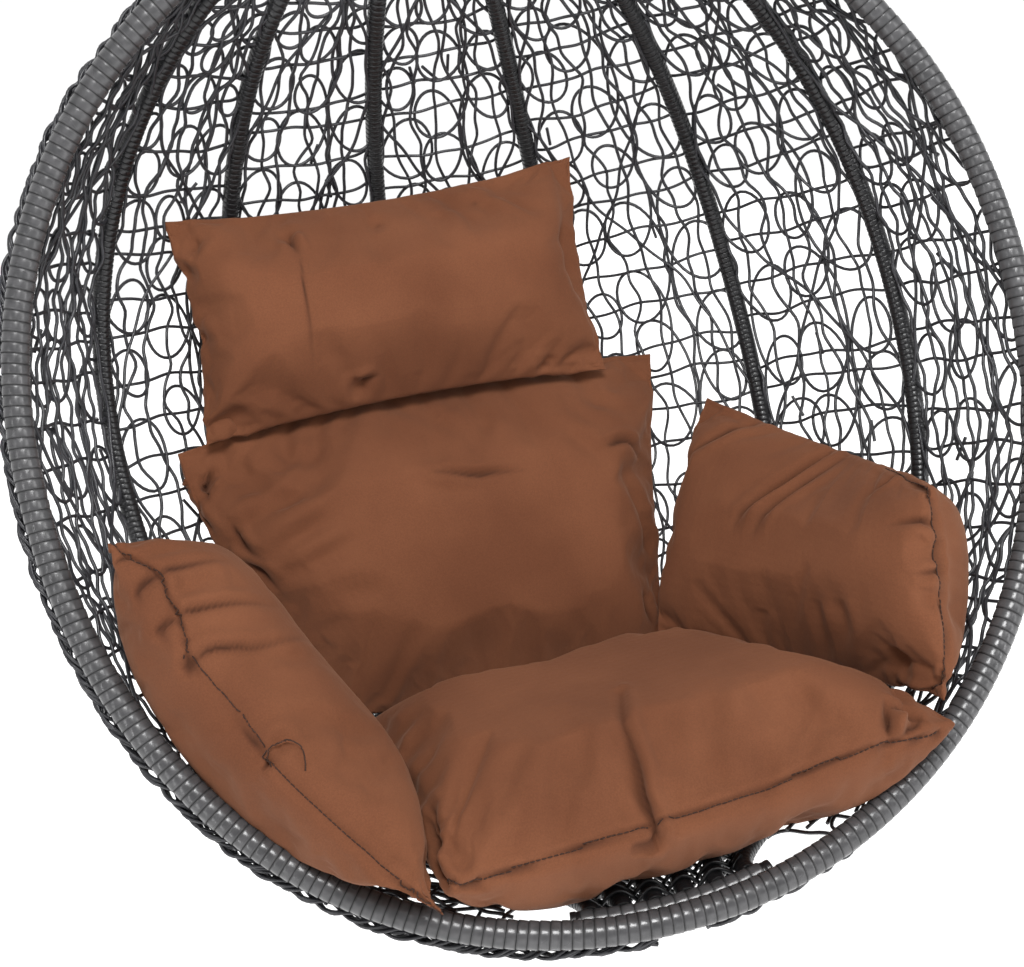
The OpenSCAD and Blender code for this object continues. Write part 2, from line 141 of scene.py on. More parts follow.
def points_of(piece: bpy.types.Object) -> Point:
    """A mesh's points as an array."""
    flat = np.empty(len(piece.data.vertices) * 3, np.float32)
    piece.data.vertices.foreach_get("co", flat)
    return flat.reshape(-1, 3).astype(float)


def put_points(piece: bpy.types.Object, points: Point) -> None:
    """Moves a mesh's points to an array's places."""
    piece.data.vertices.foreach_set("co", points.astype(np.float32).ravel())
    piece.data.update()


def mark_points(piece: bpy.types.Object, name: str, values: Sequence[float]) -> None:
    """Stores one number for each of a mesh's points, for its material to read."""
    piece.data.attributes.new(name, "FLOAT", "POINT").data.foreach_set("value", values)


def linked(name: str, data: bpy.types.ID) -> bpy.types.Object:
    """Puts a new object with its data into the scene."""
    piece = bpy.data.objects.new(name, data)
    bpy.context.scene.collection.objects.link(piece)
    return piece


def polylines(name: str, lines: Sequence[Sequence[Point]]) -> bpy.types.Object:
    """Makes one curve object of straight-sided lines.

    Args:
        name: the curve's name.
        lines: each line's points in metres.

    Returns:
        The curve object.
    """
    data = bpy.data.curves.new(name, "CURVE")
    data.dimensions = "3D"
    for line in lines:
        spline = data.splines.new("POLY")
        spline.points.add(len(line) - 1)
        for spot, p in zip(spline.points, line):
            spot.co = (*p, 1.0)
    return linked(name, data)


def lines_piece(name: str, lines: Sequence[Sequence[Point]], radius: float, resolution: int = 1) -> bpy.types.Object:
    """Makes round strands of one thickness along lines.

    Args:
        name: the piece's name.
        lines: each strand's points in metres.
        radius: the strands' radius in metres.
        resolution: how finely the strands are rounded.

    Returns:
        The strands as one mesh.
    """
    curve = polylines(name, lines)
    curve.data.bevel_depth = radius
    curve.data.bevel_resolution = resolution
    curve.data.use_fill_caps = True
    take(curve)
    bpy.ops.object.convert(target="MESH")
    smooth(bpy.context.object)
    return bpy.context.object


# --- the basket's form ---------------------------------------------------------------------------

@dataclass(frozen=True)
class BasketForm:
    """The egg-shaped basket that tubes and cane follow. Lengths are in millimetres, in the basket's own frame."""

    half_width: float = 520.0
    dome_rise: float = 512.0
    base_drop: float = 544.0
    dome_power: float = 2.04
    base_power: float = 2.15
    depth: float = 455.0
    dome_fall: float = 1.96
    base_fall: float = 1.0
    plan_power: float = 1.84
    lean_deg: float = 9.4
    top_bow: float = 113.0
    base_bow: float = 73.0
    hoop_r: float = 14.0
    rib_r: float = 10.25
    bar_r: float = 10.25
    bar_half: float = 103.0
    foot_gap: float = 33.0
    crown_rise: float = 590.0
    crown_setback: float = 20.0
    crown_ring_r: float = 62.0
    crown_slope_deg: float = 40.0
    crown_z: float = -196.2
    cap_seat: float = 12.0
    hang_tilt_deg: float = 6.7
    side_tilt_deg: float = 1.8
    crown_turn: float = 8.0
    shell_turn: float = 37.0
    base_turn: float = 138.0
    foot_turn: float = 172.0
    crown_pull: float = 240.0
    foot_pull: float = 210.0
    end_stub: float = 6.0
    seat_gap: float = 0.3
    bar_sag: float = 0.3
    shares: tuple[float, ...] = (-1.0, -0.886, -0.61, -0.215, 0.215, 0.61, 0.886, 1.0)

    @property
    def last(self) -> int:
        """The number of the hoop's right side, counted with the ribs."""
        return len(self.shares) - 1

    def is_hoop(self, i: int) -> bool:
        """Whether tube i is a side of the hoop."""
        return i in (0, self.last)

    def tube_r(self, i: int) -> float:
        """The radius of tube i."""
        return self.hoop_r if self.is_hoop(i) else self.rib_r

    def turned(self, p: Point) -> Point:
        """A direction of the basket's frame, turned as the basket hangs."""
        tilt, side = math.radians(self.hang_tilt_deg), math.radians(self.side_tilt_deg)
        y = p[1] * math.cos(tilt) + p[2] * math.sin(tilt)
        z = p[2] * math.cos(tilt) - p[1] * math.sin(tilt)
        return np.array([p[0] * math.cos(side) - z * math.sin(side), y, z * math.cos(side) + p[0] * math.sin(side)])

    def hung(self, p: Point) -> Point:
        """A point of the basket's frame, where it is when the basket hangs."""
        return self.turned(np.asarray(p, float) - (0, self.crown_setback, self.crown_rise)) + (0, 0, self.crown_z)

    def girth(self, turn: float) -> float:
        """The hoop's half width at a turn from its top, as a share of the widest."""
        return max(math.sin(math.radians(turn)), 0.0) ** (2 / (self.dome_power if turn < 90 else self.base_power))

    def level(self, turn: float) -> float:
        """The height at a turn from the hoop's top."""
        c = math.cos(math.radians(turn))
        if turn < 90:
            return self.dome_rise * max(c, 0.0) ** (2 / self.dome_power)
        return -self.base_drop * max(-c, 0.0) ** (2 / self.base_power)

    def hoop_y(self, turn: float) -> float:
        """How far back the hoop stands at a turn from its top."""
        lean = math.tan(math.radians(self.lean_deg)) * self.level(turn)
        if turn < 90:
            return lean - self.top_bow * (1 - self.girth(turn))
        return lean - self.base_bow * (1 - math.sqrt((self.girth(turn) ** 2 + 0.04) / 1.04))

    def shell(self, share: float, turn: float) -> Point:
        """A hung point of the plain egg shape.

        Args:
            share: the place across the front, from -1 at the left to 1 at the right.
            turn: the turn from the top in degrees.

        Returns:
            The point in millimetres.
        """
        fall = self.dome_fall if turn < 90 else self.base_fall
        depth = self.depth * self.girth(turn) ** fall * (1 - abs(share) ** self.plan_power) ** (1 / self.plan_power)
        return self.hung(np.array([self.half_width * self.girth(turn) * share,
                                   self.hoop_y(turn) + depth, self.level(turn)]))

    @staticmethod
    def eased(a: Point, pull_a: Point, b: Point, pull_b: Point, s: float) -> Point:
        """A point on the smooth curve from a to b that leaves and arrives along its pulls."""
        return (a * (2 * s ** 3 - 3 * s ** 2 + 1) + pull_a * (s ** 3 - 2 * s ** 2 + s)
                + b * (3 * s ** 2 - 2 * s ** 3) + pull_b * (s ** 3 - s ** 2))

    def speed(self, share: float, turn: float) -> Point:
        """How far the plain shape moves for one degree of turn."""
        return self.shell(share, turn + 0.5) - self.shell(share, turn - 0.5)

    def bar_point(self, x: float) -> Point:
        """A hung point of the base bar's middle, at a place across."""
        turn = 180 - math.degrees(math.asin((abs(x) / self.half_width) ** (self.base_power / 2)))
        behind = self.hoop_r + self.bar_r + self.bar_sag + self.seat_gap
        return self.hung(np.array([x, self.hoop_y(turn), self.level(turn)])) + (0, behind, 0)

    def crown_seat(self, i: int) -> tuple[Point, Point]:
        """Where tube i meets the crown, and the way it points there."""
        swing, slope = math.radians(-90 + 180 * i / self.last), math.radians(self.crown_slope_deg)
        seat = np.array([self.crown_ring_r * math.sin(swing), self.crown_ring_r * math.cos(swing),
                         self.crown_z - self.cap_seat])
        return seat, np.array([-math.sin(swing) * math.cos(slope), -math.cos(swing) * math.cos(slope),
                               math.sin(slope)])

    def foot(self, i: int) -> tuple[Point, Point]:
        """Where rib i butts on the base bar, and the way back along it."""
        x = (i - self.last / 2) * self.foot_gap
        along = unit(self.bar_point(x + 1) - self.bar_point(x - 1))
        out = unit(np.array([0.0, 1.0, 0.0]) - along[1] * along)
        return self.bar_point(x) + out * (self.bar_r + self.bar_sag + self.seat_gap), out

    @lru_cache(maxsize=40000)
    def _tube(self, i: int, turn: float) -> tuple[float, float, float]:
        share = self.shares[i]
        if turn < self.shell_turn:
            seat, way = self.crown_seat(i)
            span = self.shell_turn - self.crown_turn
            return tuple(self.eased(self.shell(share, self.shell_turn), -self.speed(share, self.shell_turn) * span,
                                    seat - way * self.end_stub, way * self.crown_pull,
                                    (self.shell_turn - turn) / span))
        if turn <= self.base_turn or self.is_hoop(i):
            return tuple(self.shell(share, turn))
        seat, out = self.foot(i)
        span = self.foot_turn - self.base_turn
        return tuple(self.eased(self.shell(share, self.base_turn), self.speed(share, self.base_turn) * span,
                                seat + out * self.end_stub, -out * self.foot_pull, (turn - self.base_turn) / span))

    def tube(self, i: int, turn: float) -> Point:
        """A point on the middle line of tube i, at a turn from the top."""
        return np.array(self._tube(i, round(turn, 3)))

    def panel(self, i: int, turn: float, across: float) -> Point:
        """A point of the panel between tubes i and i + 1."""
        return mix(self.tube(i, turn), self.tube(i + 1, turn), across)

    def panel_width(self, i: int, turn: float) -> float:
        """How wide a panel is between its tubes' middle lines."""
        return float(np.linalg.norm(self.tube(i + 1, turn) - self.tube(i, turn)))

    def panel_out(self, i: int, turn: float) -> Point:
        """The way out of the basket, square to a panel."""
        down = self.tube(i, turn + 1) - self.tube(i, turn - 1) + self.tube(i + 1, turn + 1) - self.tube(i + 1, turn - 1)
        return unit(np.cross(self.tube(i + 1, turn) - self.tube(i, turn), down))


FORM = BasketForm()


# --- finishes -------------------------------------------------------------------------------------

class NodeSheet:
    """A material's node tree, with short ways to add and join nodes."""

    def __init__(self, name: str) -> None:
        """Starts a material of one principled shader.

        Args:
            name: the material's name.
        """
        self.material = bpy.data.materials.new(name)
        self.material.use_nodes = True
        self.tree = self.material.node_tree
        self.shader = self.tree.nodes["Principled BSDF"]
        self.place = self.add("ShaderNodeTexCoord").outputs["Object"]

    def feed(self, node: bpy.types.Node, **values: object) -> None:
        """Feeds a node's inputs, named with spaces as underscores.

        Args:
            node: the node.
            values: for each input a socket to link it to, or its constant.
        """
        for key, value in values.items():
            socket = node.inputs[key.replace("_", " ")]
            if isinstance(value, bpy.types.NodeSocket):
                self.tree.links.new(value, socket)
            else:
                socket.default_value = value

    def add(self, kind: str, inputs: dict[str, object] | None = None, **settings: object) -> bpy.types.Node:
        """Adds a node.

        Args:
            kind: the node's type.
            inputs: what its inputs are fed with.
            settings: its properties by name.

        Returns:
            The new node.
        """
        node = self.tree.nodes.new(kind)
        for key, value in settings.items():
            setattr(node, key, value)
        self.feed(node, **(inputs or {}))
        return node

    def noise(self, scale: float, detail: float = 3.0, stretch: Sequence[float] = (1, 1, 1)) -> bpy.types.NodeSocket:
        """Adds a noise on the object's coordinates.

        Args:
            scale: waves per metre.
            detail: how many finer layers it has.
            stretch: the scale along each axis.

        Returns:
            Its value.
        """
        way = self.add("ShaderNodeMapping", {"Vector": self.place, "Scale": stretch}).outputs["Vector"]
        return self.add("ShaderNodeTexNoise", {"Vector": way, "Scale": scale, "Detail": detail}).outputs["Fac"]

    def ramp(self, value: bpy.types.NodeSocket, *stops: tuple[float, Colour]) -> bpy.types.NodeSocket:
        """Turns a value into a colour by stops.

        Args:
            value: the value.
            stops: pairs of place and colour.

        Returns:
            The colour.
        """
        node = self.add("ShaderNodeValToRGB", {"Fac": value})
        for element, (at, colour) in zip(node.color_ramp.elements, stops):
            element.position = at
            element.color = (*colour, 1.0)
        return node.outputs["Color"]

    def spread(self, value: bpy.types.NodeSocket, low: float, high: float,
               start: float = 0.3, end: float = 0.7) -> bpy.types.NodeSocket:
        """Maps a value's range to another.

        Args:
            value: the value.
            low: what its start becomes.
            high: what its end becomes.
            start: the range's start.
            end: the range's end.

        Returns:
            The mapped value.
        """
        return self.add("ShaderNodeMapRange", {"Value": value, "From Min": start, "From Max": end,
                                               "To Min": low, "To Max": high}).outputs["Result"]

    def blend(self, share: object, first: object, second: object, **settings: str) -> bpy.types.NodeSocket:
        """Mixes two colours, or two numbers.

        Args:
            share: how much of the second one, or a socket with it.
            first: the first one, or a socket with it.
            second: the second one, or a socket with it.
            settings: the mix node's properties.

        Returns:
            The mixture.
        """
        node = self.add("ShaderNodeMix", **({"data_type": "RGBA", "blend_type": "MIX"} | settings))
        self.feed(node, Factor=share, A=first, B=second)
        return node.outputs["Result"]

    def marked(self, name: str) -> bpy.types.NodeSocket:
        """Reads the number that a mesh's points carry by a name."""
        return self.add("ShaderNodeAttribute", attribute_name=name).outputs["Fac"]

    def bump(self, height: bpy.types.NodeSocket, strength: float, distance: float,
             under: bpy.types.NodeSocket | None = None) -> bpy.types.NodeSocket:
        """Adds a bump.

        Args:
            height: its height.
            strength: how strong it is.
            distance: its height in metres.
            under: a bump that it lies on.

        Returns:
            The normal.
        """
        node = self.add("ShaderNodeBump", {"Strength": strength, "Distance": distance, "Height": height})
        if under is not None:
            self.feed(node, Normal=under)
        return node.outputs["Normal"]

    def made(self, **values: object) -> bpy.types.Material:
        """Feeds the shader itself, which ends the material."""
        self.feed(self.shader, **values)
        return self.material


@dataclass(frozen=True)
class BrushedMetal:
    """Plated or bare metal with fine turning marks."""

    name: str
    light: Colour
    dark: Colour
    gloss: float = 0.28

    def make(self) -> bpy.types.Material:
        """Builds the material."""
        sheet = NodeSheet(self.name)
        marks, cloud = sheet.noise(900, 2, (1, 1, 9)), sheet.noise(60, 4)
        return sheet.made(Base_Color=sheet.ramp(cloud, (0.3, self.dark), (0.65, self.light)), Metallic=1.0,
                          Roughness=sheet.spread(marks, self.gloss, self.gloss + 0.18),
                          Normal=sheet.bump(marks, 0.25, 0.0002, sheet.bump(cloud, 0.2, 0.0004)))


@dataclass(frozen=True)
class GrainedSkin:
    """A dark clouded skin with a fine grain and a thin clear coat, as baked paint or plastic cane has."""

    name: str
    light: Colour
    dark: Colour
    cloud: tuple[float, float]
    grain: float
    grain_bump: tuple[float, float]
    rough: tuple[float, float]
    specular: float
    coat: float
    coat_rough: float

    def make(self) -> bpy.types.Material:
        """Builds the material."""
        sheet = NodeSheet(self.name)
        grain, cloud = sheet.noise(self.grain, 2), sheet.noise(*self.cloud)
        return sheet.made(Base_Color=sheet.ramp(cloud, (0.3, self.dark), (0.7, self.light)),
                          Roughness=sheet.spread(grain, *self.rough), Normal=sheet.bump(grain, *self.grain_bump),
                          Specular_IOR_Level=self.specular, Coat_Weight=self.coat, Coat_Roughness=self.coat_rough)


@dataclass(frozen=True)
class FlatStrip:
    """Glossy plastic strip wound round a tube, with fine lines along it and painted shade in its dull grooves."""

    name: str
    light: Colour
    dark: Colour
    gloss: float

    def make(self) -> bpy.types.Material:
        """Builds the material."""
        sheet = NodeSheet(self.name)
        turns, cloud, lines = sheet.noise(95, 1), sheet.noise(9, 3), sheet.noise(1500, 1)
        groove = sheet.marked("groove")
        face = sheet.ramp(turns, (0.3, self.dark), (0.7, self.light))
        shine = sheet.spread(cloud, self.gloss, self.gloss + 0.14)
        # Painted shade: the grooves between the turns are mixed toward near black by the groove mark.
        return sheet.made(Base_Color=sheet.blend(groove, face, (0.003, 0.003, 0.0033, 1.0)),
                          Roughness=sheet.blend(groove, shine, 0.95, data_type="FLOAT"),
                          Normal=sheet.bump(lines, 0.12, 0.0002, sheet.bump(turns, 0.2, 0.0008)),
                          Specular_IOR_Level=0.45, Coat_Weight=0.1, Coat_Roughness=0.2)


@dataclass(frozen=True)
class WovenCloth:
    """Plain-woven brown upholstery cloth with a soft nap, and painted shade in its seams and creases."""

    name: str = "brown_cushion_cloth"
    light: Colour = (0.158, 0.058, 0.027)
    dark: Colour = (0.12, 0.042, 0.019)
    # The seam colour is painted shade: seams, creases and pinches are darkened toward it.
    seam: Colour = (0.03, 0.011, 0.006)
    threads_per_m: float = 640.0

    def make(self) -> bpy.types.Material:
        """Builds the material."""
        sheet = NodeSheet(self.name)
        way = sheet.add("ShaderNodeUVMap", uv_map="cloth").outputs["UV"]
        inputs = {"Vector": way, "Scale": self.threads_per_m / (2 * math.pi) / 3.14, "Distortion": 1.2,
                  "Detail Scale": 2.0}
        warp, weft = (sheet.add("ShaderNodeTexWave", inputs, bands_direction=d).outputs["Fac"] for d in ("X", "Y"))
        weave = sheet.add("ShaderNodeMath", operation="MULTIPLY")
        for thread, socket in zip((warp, weft), weave.inputs):
            sheet.tree.links.new(thread, socket)
        slub = sheet.noise(620, 2)
        base = sheet.ramp(sheet.noise(7, 3), (0.35, self.dark), (0.65, self.light))
        fine = sheet.ramp(slub, (0.32, (0.9, 0.89, 0.88)), (0.7, (1.06, 1.05, 1.04)))
        tone = sheet.blend(1.0, base, fine, blend_type="MULTIPLY")
        # Painted shade: the seam_shade marks darken the cloth toward the seam colour in seams, creases and pinches.
        return sheet.made(Base_Color=sheet.blend(sheet.marked("seam_shade"), tone, (*self.seam, 1.0)),
                          Normal=sheet.bump(weave.outputs[0], 0.35, 0.0005, sheet.bump(slub, 0.25, 0.0008)),
                          Roughness=0.92, Specular_IOR_Level=0.2, Sheen_Weight=0.1, Sheen_Roughness=0.5,
                          Sheen_Tint=(1.0, 0.6, 0.4, 1.0))


@dataclass(frozen=True)
class SewingThread:
    """Dark brown spun thread."""

    name: str = "brown_thread"

    def make(self) -> bpy.types.Material:
        """Builds the material."""
        sheet = NodeSheet(self.name)
        ply = sheet.noise(2600, 2)
        return sheet.made(Base_Color=sheet.ramp(ply, (0.35, (0.022, 0.009, 0.005)), (0.65, (0.045, 0.018, 0.01))),
                          Normal=sheet.bump(ply, 0.4, 0.0002), Roughness=0.7, Specular_IOR_Level=0.3)


@dataclass(frozen=True)
class PaleFloor:
    """A plain studio floor that glows, most behind the chair."""

    name: str = "pale_floor"

    def make(self) -> bpy.types.Material:
        """Builds the material."""
        sheet = NodeSheet(self.name)
        tone = sheet.ramp(sheet.noise(2, 2), (0.4, (0.86, 0.86, 0.86)), (0.6, (0.88, 0.88, 0.88)))
        back = sheet.add("ShaderNodeSeparateXYZ", {"Vector": sheet.place}).outputs["Y"]
        return sheet.made(Base_Color=tone, Emission_Strength=sheet.spread(back, 0.12, 0.8, -3.5, 1.4),
                          Roughness=0.9, Emission_Color=(1.0, 1.0, 1.0, 1.0))


class Finish(Enum):
    """The finishes of the chair."""

    ZINC = BrushedMetal("zinc_plate", (0.62, 0.63, 0.64), (0.46, 0.47, 0.48))
    DARK_STEEL = BrushedMetal("oiled_steel", (0.34, 0.34, 0.35), (0.2, 0.2, 0.21), 0.32)
    BRASS = BrushedMetal("washer_brass", (0.72, 0.54, 0.26), (0.5, 0.36, 0.16))
    COAT = GrainedSkin("black_powder_coat", (0.034, 0.034, 0.037), (0.022, 0.022, 0.024), cloud=(30, 3), grain=700,
                       grain_bump=(0.3, 0.0003), rough=(0.48, 0.6), specular=0.5, coat=0.25, coat_rough=0.25)
    # Painted reflection: the hoop's strip is the ribs' strip made lighter, standing in for the broad frontal light it
    # catches.
    HOOP_STRIP = FlatStrip("hoop_strip_painted_reflection", (0.074, 0.073, 0.076), (0.048, 0.048, 0.05), 0.2)
    RIB_STRIP = FlatStrip("rib_strip", (0.013, 0.013, 0.0145), (0.008, 0.008, 0.009), 0.24)
    CANE = GrainedSkin("round_cane", (0.011, 0.011, 0.012), (0.004, 0.004, 0.0045), cloud=(22, 2), grain=260,
                       grain_bump=(0.2, 0.0004), rough=(0.2, 0.34), specular=0.4, coat=0.15, coat_rough=0.1)
    CLOTH = WovenCloth()
    THREAD = SewingThread()
    FLOOR = PaleFloor()

    def material(self) -> bpy.types.Material:
        """The finish's material, made once."""
        return bpy.data.materials.get(self.value.name) or self.value.make()

    def dress(self, piece: bpy.types.Object) -> None:
        """Gives a piece this finish alone."""
        piece.data.materials.clear()
        piece.data.materials.append(self.material())


# --- sub-assemblies ---------------------------------------------------------------------------------

class Group:
    """A sub-assembly: it builds its pieces, has them ride on a body, and reports them."""

    body = "basket"

    def settle(self, piece: bpy.types.Object, slot: str, *nodes: str) -> None:
        """Puts a finished piece on its body in place of its plain solids.

        Args:
            piece: the finished piece.
            slot: the name of a material slot; not used.
            nodes: the plain solids that it stands for.
        """
        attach(piece, self.body)
        if nodes:
            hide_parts(*nodes)
        LOG.info("%s: %d faces", piece.name, len(piece.data.polygons))


@dataclass
class HangerMetal(Group):
    """The swivel, snap hook, loop and cap, whose solids already have their shape."""

    finishes: tuple[tuple[str, Finish], ...] = (
        ("swivel_eye", Finish.ZINC), ("swivel_barrel", Finish.ZINC), ("swivel_base", Finish.ZINC),
        ("hook_body", Finish.ZINC), ("hook_gate", Finish.ZINC), ("lock_nut", Finish.DARK_STEEL),
        ("gate_pin", Finish.DARK_STEEL), ("gate_spring", Finish.DARK_STEEL), ("thrust_washer", Finish.BRASS),
        ("hanging_loop", Finish.COAT), ("crown_cap", Finish.COAT),
    )

    def dress(self, nodes: dict[str, bpy.types.Object]) -> None:
        """Gives each solid its metal.

        Args:
            nodes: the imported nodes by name.
        """
        for name, finish in self.finishes:
            finish.dress(nodes[name])
            LOG.info("%s: %s", name, finish.value.name)


@dataclass
class WrappedTube(Group):
    """A tube under a tight winding of flat strip: one turn is modelled, then repeated along the tube."""

    name: str
    radius: float
    pitch: float
    sides: int
    groove: float
    slant_deg: float
    finish: Finish
    beside: float = 0.0
    beside_r: float = 0.0

    def take_in_second(self, turn: bpy.types.Object) -> None:
        """Draws the back half of a ring out round a second tube.

        Args:
            turn: the ring, still one loop of points.
        """
        for corner in turn.data.vertices:
            corner.select = corner.co.y > 1e-6
        bpy.ops.object.mode_set(mode="EDIT")
        bpy.ops.transform.resize(value=(1.0, self.beside_r / self.radius, self.beside_r / self.radius),
                                 center_override=(0.0, 0.0, 0.0))
        bpy.ops.transform.translate(value=(0.0, self.beside, 0.0))
        bpy.ops.object.mode_set(mode="OBJECT")

    def one_turn(self) -> bpy.types.Object:
        """Models one turn of strip as a ring with a rounded face and sunk edges.

        Returns:
            The ring, along X from the origin.
        """
        clear_selection()
        # Each step of the profile: its place along the turn, its share of the groove's depth, and the painted shade it
        # gets.
        profile = ((0.0, 1.0, 1.0), (0.07, 0.3, 0.45), (0.25, 0.1, 0.0), (0.5, 0.0, 0.0),
                   (0.78, 0.1, 0.0), (0.93, 0.35, 0.35), (1.0, 1.0, 1.0))  # place, share of the groove, darkness
        bpy.ops.mesh.primitive_circle_add(vertices=self.sides, radius=self.radius, fill_type="NOTHING",
                                          rotation=(0.0, math.pi / 2, 0.0))
        turn = bpy.context.object
        bpy.ops.object.transform_apply(location=True, rotation=True, scale=True)
        if self.beside:
            self.take_in_second(turn)
        bpy.ops.object.mode_set(mode="EDIT")
        bpy.ops.mesh.select_all(action="SELECT")
        size, along = self.radius, 0.0
        for step, (place, sunk, _) in enumerate(profile):
            if step:
                bpy.ops.mesh.extrude_region_move(
                    TRANSFORM_OT_translate={"value": ((place - along) * self.pitch, 0.0, 0.0)})
            wanted = self.radius - sunk * self.groove
            bpy.ops.transform.resize(value=(1.0, wanted / size, wanted / size),
                                     center_override=(place * self.pitch, self.beside / 2, 0.0))
            size, along = wanted, place
        bpy.ops.mesh.select_all(action="SELECT")
        bpy.ops.transform.rotate(value=math.radians(self.slant_deg), orient_axis="Y",
                                 center_override=(self.pitch / 2, 0.0, 0.0))
        bpy.ops.object.mode_set(mode="OBJECT")
        # The groove mark carries the painted shade of the grooves to the strip's material.
        mark_points(turn, "groove", [dark for *_, dark in profile for _ in range(self.sides)])
        return turn

    def build(self, path: Sequence[Point]) -> bpy.types.Object:
        """Repeats the turn along a path and closes the ends.

        Args:
            path: points of the tube's middle line, in millimetres.

        Returns:
            The wrapped tube.
        """
        points = [Vector(p * MM) for p in path]
        length = sum((b - a).length for a, b in zip(points, points[1:]))
        count = round(length / self.pitch)
        self.pitch = length / count
        guide = polylines(self.name + "_guide", [points])
        guide.data.twist_mode = "Z_UP" if self.beside else "MINIMUM"
        tube = self.one_turn()
        tube.name = tube.data.name = self.name
        apply_modifier(tube, "ARRAY", count=count, use_relative_offset=False, use_constant_offset=True,
                       constant_offset_displace=(self.pitch, 0.0, 0.0), use_merge_vertices=True,
                       merge_threshold=0.00005)
        apply_modifier(tube, "CURVE", object=guide, deform_axis="POS_X")
        bpy.data.objects.remove(guide)
        take(tube)
        bpy.ops.object.mode_set(mode="EDIT")
        bpy.ops.mesh.select_all(action="SELECT")
        bpy.ops.mesh.fill_holes(sides=0)
        bpy.ops.mesh.select_all(action="SELECT")
        bpy.ops.mesh.normals_make_consistent(inside=False)
        bpy.ops.object.mode_set(mode="OBJECT")
        smooth(tube, 50)
        self.finish.dress(tube)
        return tube


@dataclass
class BasketFrame(Group):
    """The hoop, its base bar and the six ribs, all wound with strip."""

    form: BasketForm = FORM
    hoop_pitch: float = 0.0106
    rib_pitch: float = 0.0064
    bound_pitch: float = 0.0135
    bound_half: float = 96.0
    strip_over: float = 0.9
    mat_rows: int = 13
    mat_turn: float = 171.0
    mat_step: float = 1.0
    mat_lift: float = 2.2
    mat_cane_r: float = 0.0024

    def hoop(self) -> None:
        """Winds the front hoop."""
        f = self.form
        turns = np.linspace(f.crown_turn, 360 - f.crown_turn, 560)
        path = [f.tube(0, t) if t <= 180 else f.tube(f.last, 360 - t) for t in turns]
        path = [f.crown_seat(0)[0], *path, f.crown_seat(f.last)[0]]
        tube = WrappedTube("hoop_winding", f.hoop_r * MM, self.hoop_pitch, 24, 0.0007, 4.0, Finish.HOOP_STRIP)
        self.settle(tube.build(path), "wrapped_tube", "front_hoop")

    def bar(self) -> None:
        """Winds the base bar."""
        f = self.form
        path = [f.bar_point(x) for x in np.linspace(-f.bar_half, f.bar_half, 60)]
        tube = WrappedTube("base_bar_winding", f.bar_r * MM, self.rib_pitch, 20, 0.0006, 4.0, Finish.RIB_STRIP)
        self.settle(tube.build(path), "wrapped_tube", "base_bar")

    def rib(self, i: int) -> None:
        """Winds rib i."""
        f = self.form
        path = [f.tube(i, t) for t in np.linspace(f.crown_turn, f.foot_turn, 320)]
        tube = WrappedTube(f"rib_winding_{i}", f.rib_r * MM, self.rib_pitch, 14, 0.0007, 6.0, Finish.RIB_STRIP)
        self.settle(tube.build([f.crown_seat(i)[0], *path, f.foot(i)[0]]), "wrapped_tube", f"rib_{i}")

    def binding(self) -> None:
        """Binds the hoop and the base bar together with wide strip."""
        f = self.form
        behind = np.array([0.0, f.hoop_r + f.bar_r + f.bar_sag + f.seat_gap, 0.0])
        path = [f.bar_point(x) - behind for x in np.linspace(-self.bound_half, self.bound_half, 60)]
        tube = WrappedTube("base_binding", (f.hoop_r + self.strip_over) * MM, self.bound_pitch, 28, 0.0009, 5.0,
                           Finish.HOOP_STRIP, behind[1] * MM, (f.bar_r + self.strip_over) * MM)
        self.settle(tube.build(path), "wrapped_tube")

    def mat(self) -> None:
        """Weaves close rows of cane over and under the ribs' feet."""
        f, rows = self.form, []
        for k in range(self.mat_rows):
            marks = []
            for i in range(1, f.last):
                _, out = f.foot(i)
                over = np.cross(unit(f.bar_point(1) - f.bar_point(-1)), out) * (1 if (i + k) % 2 else -1)
                marks.append(f.tube(i, self.mat_turn - k * self.mat_step) + over * (f.rib_r + self.mat_lift))
            rows.append(through(np.array(marks), 8) * MM)
        piece = lines_piece("base_mat", rows, self.mat_cane_r, 2)
        Finish.RIB_STRIP.dress(piece)
        self.settle(piece, "wrapped_tube")

    def build(self) -> None:
        """Builds the whole frame."""
        self.hoop()
        self.bar()
        self.binding()
        self.mat()
        for i in range(1, self.form.last):
            self.rib(i)


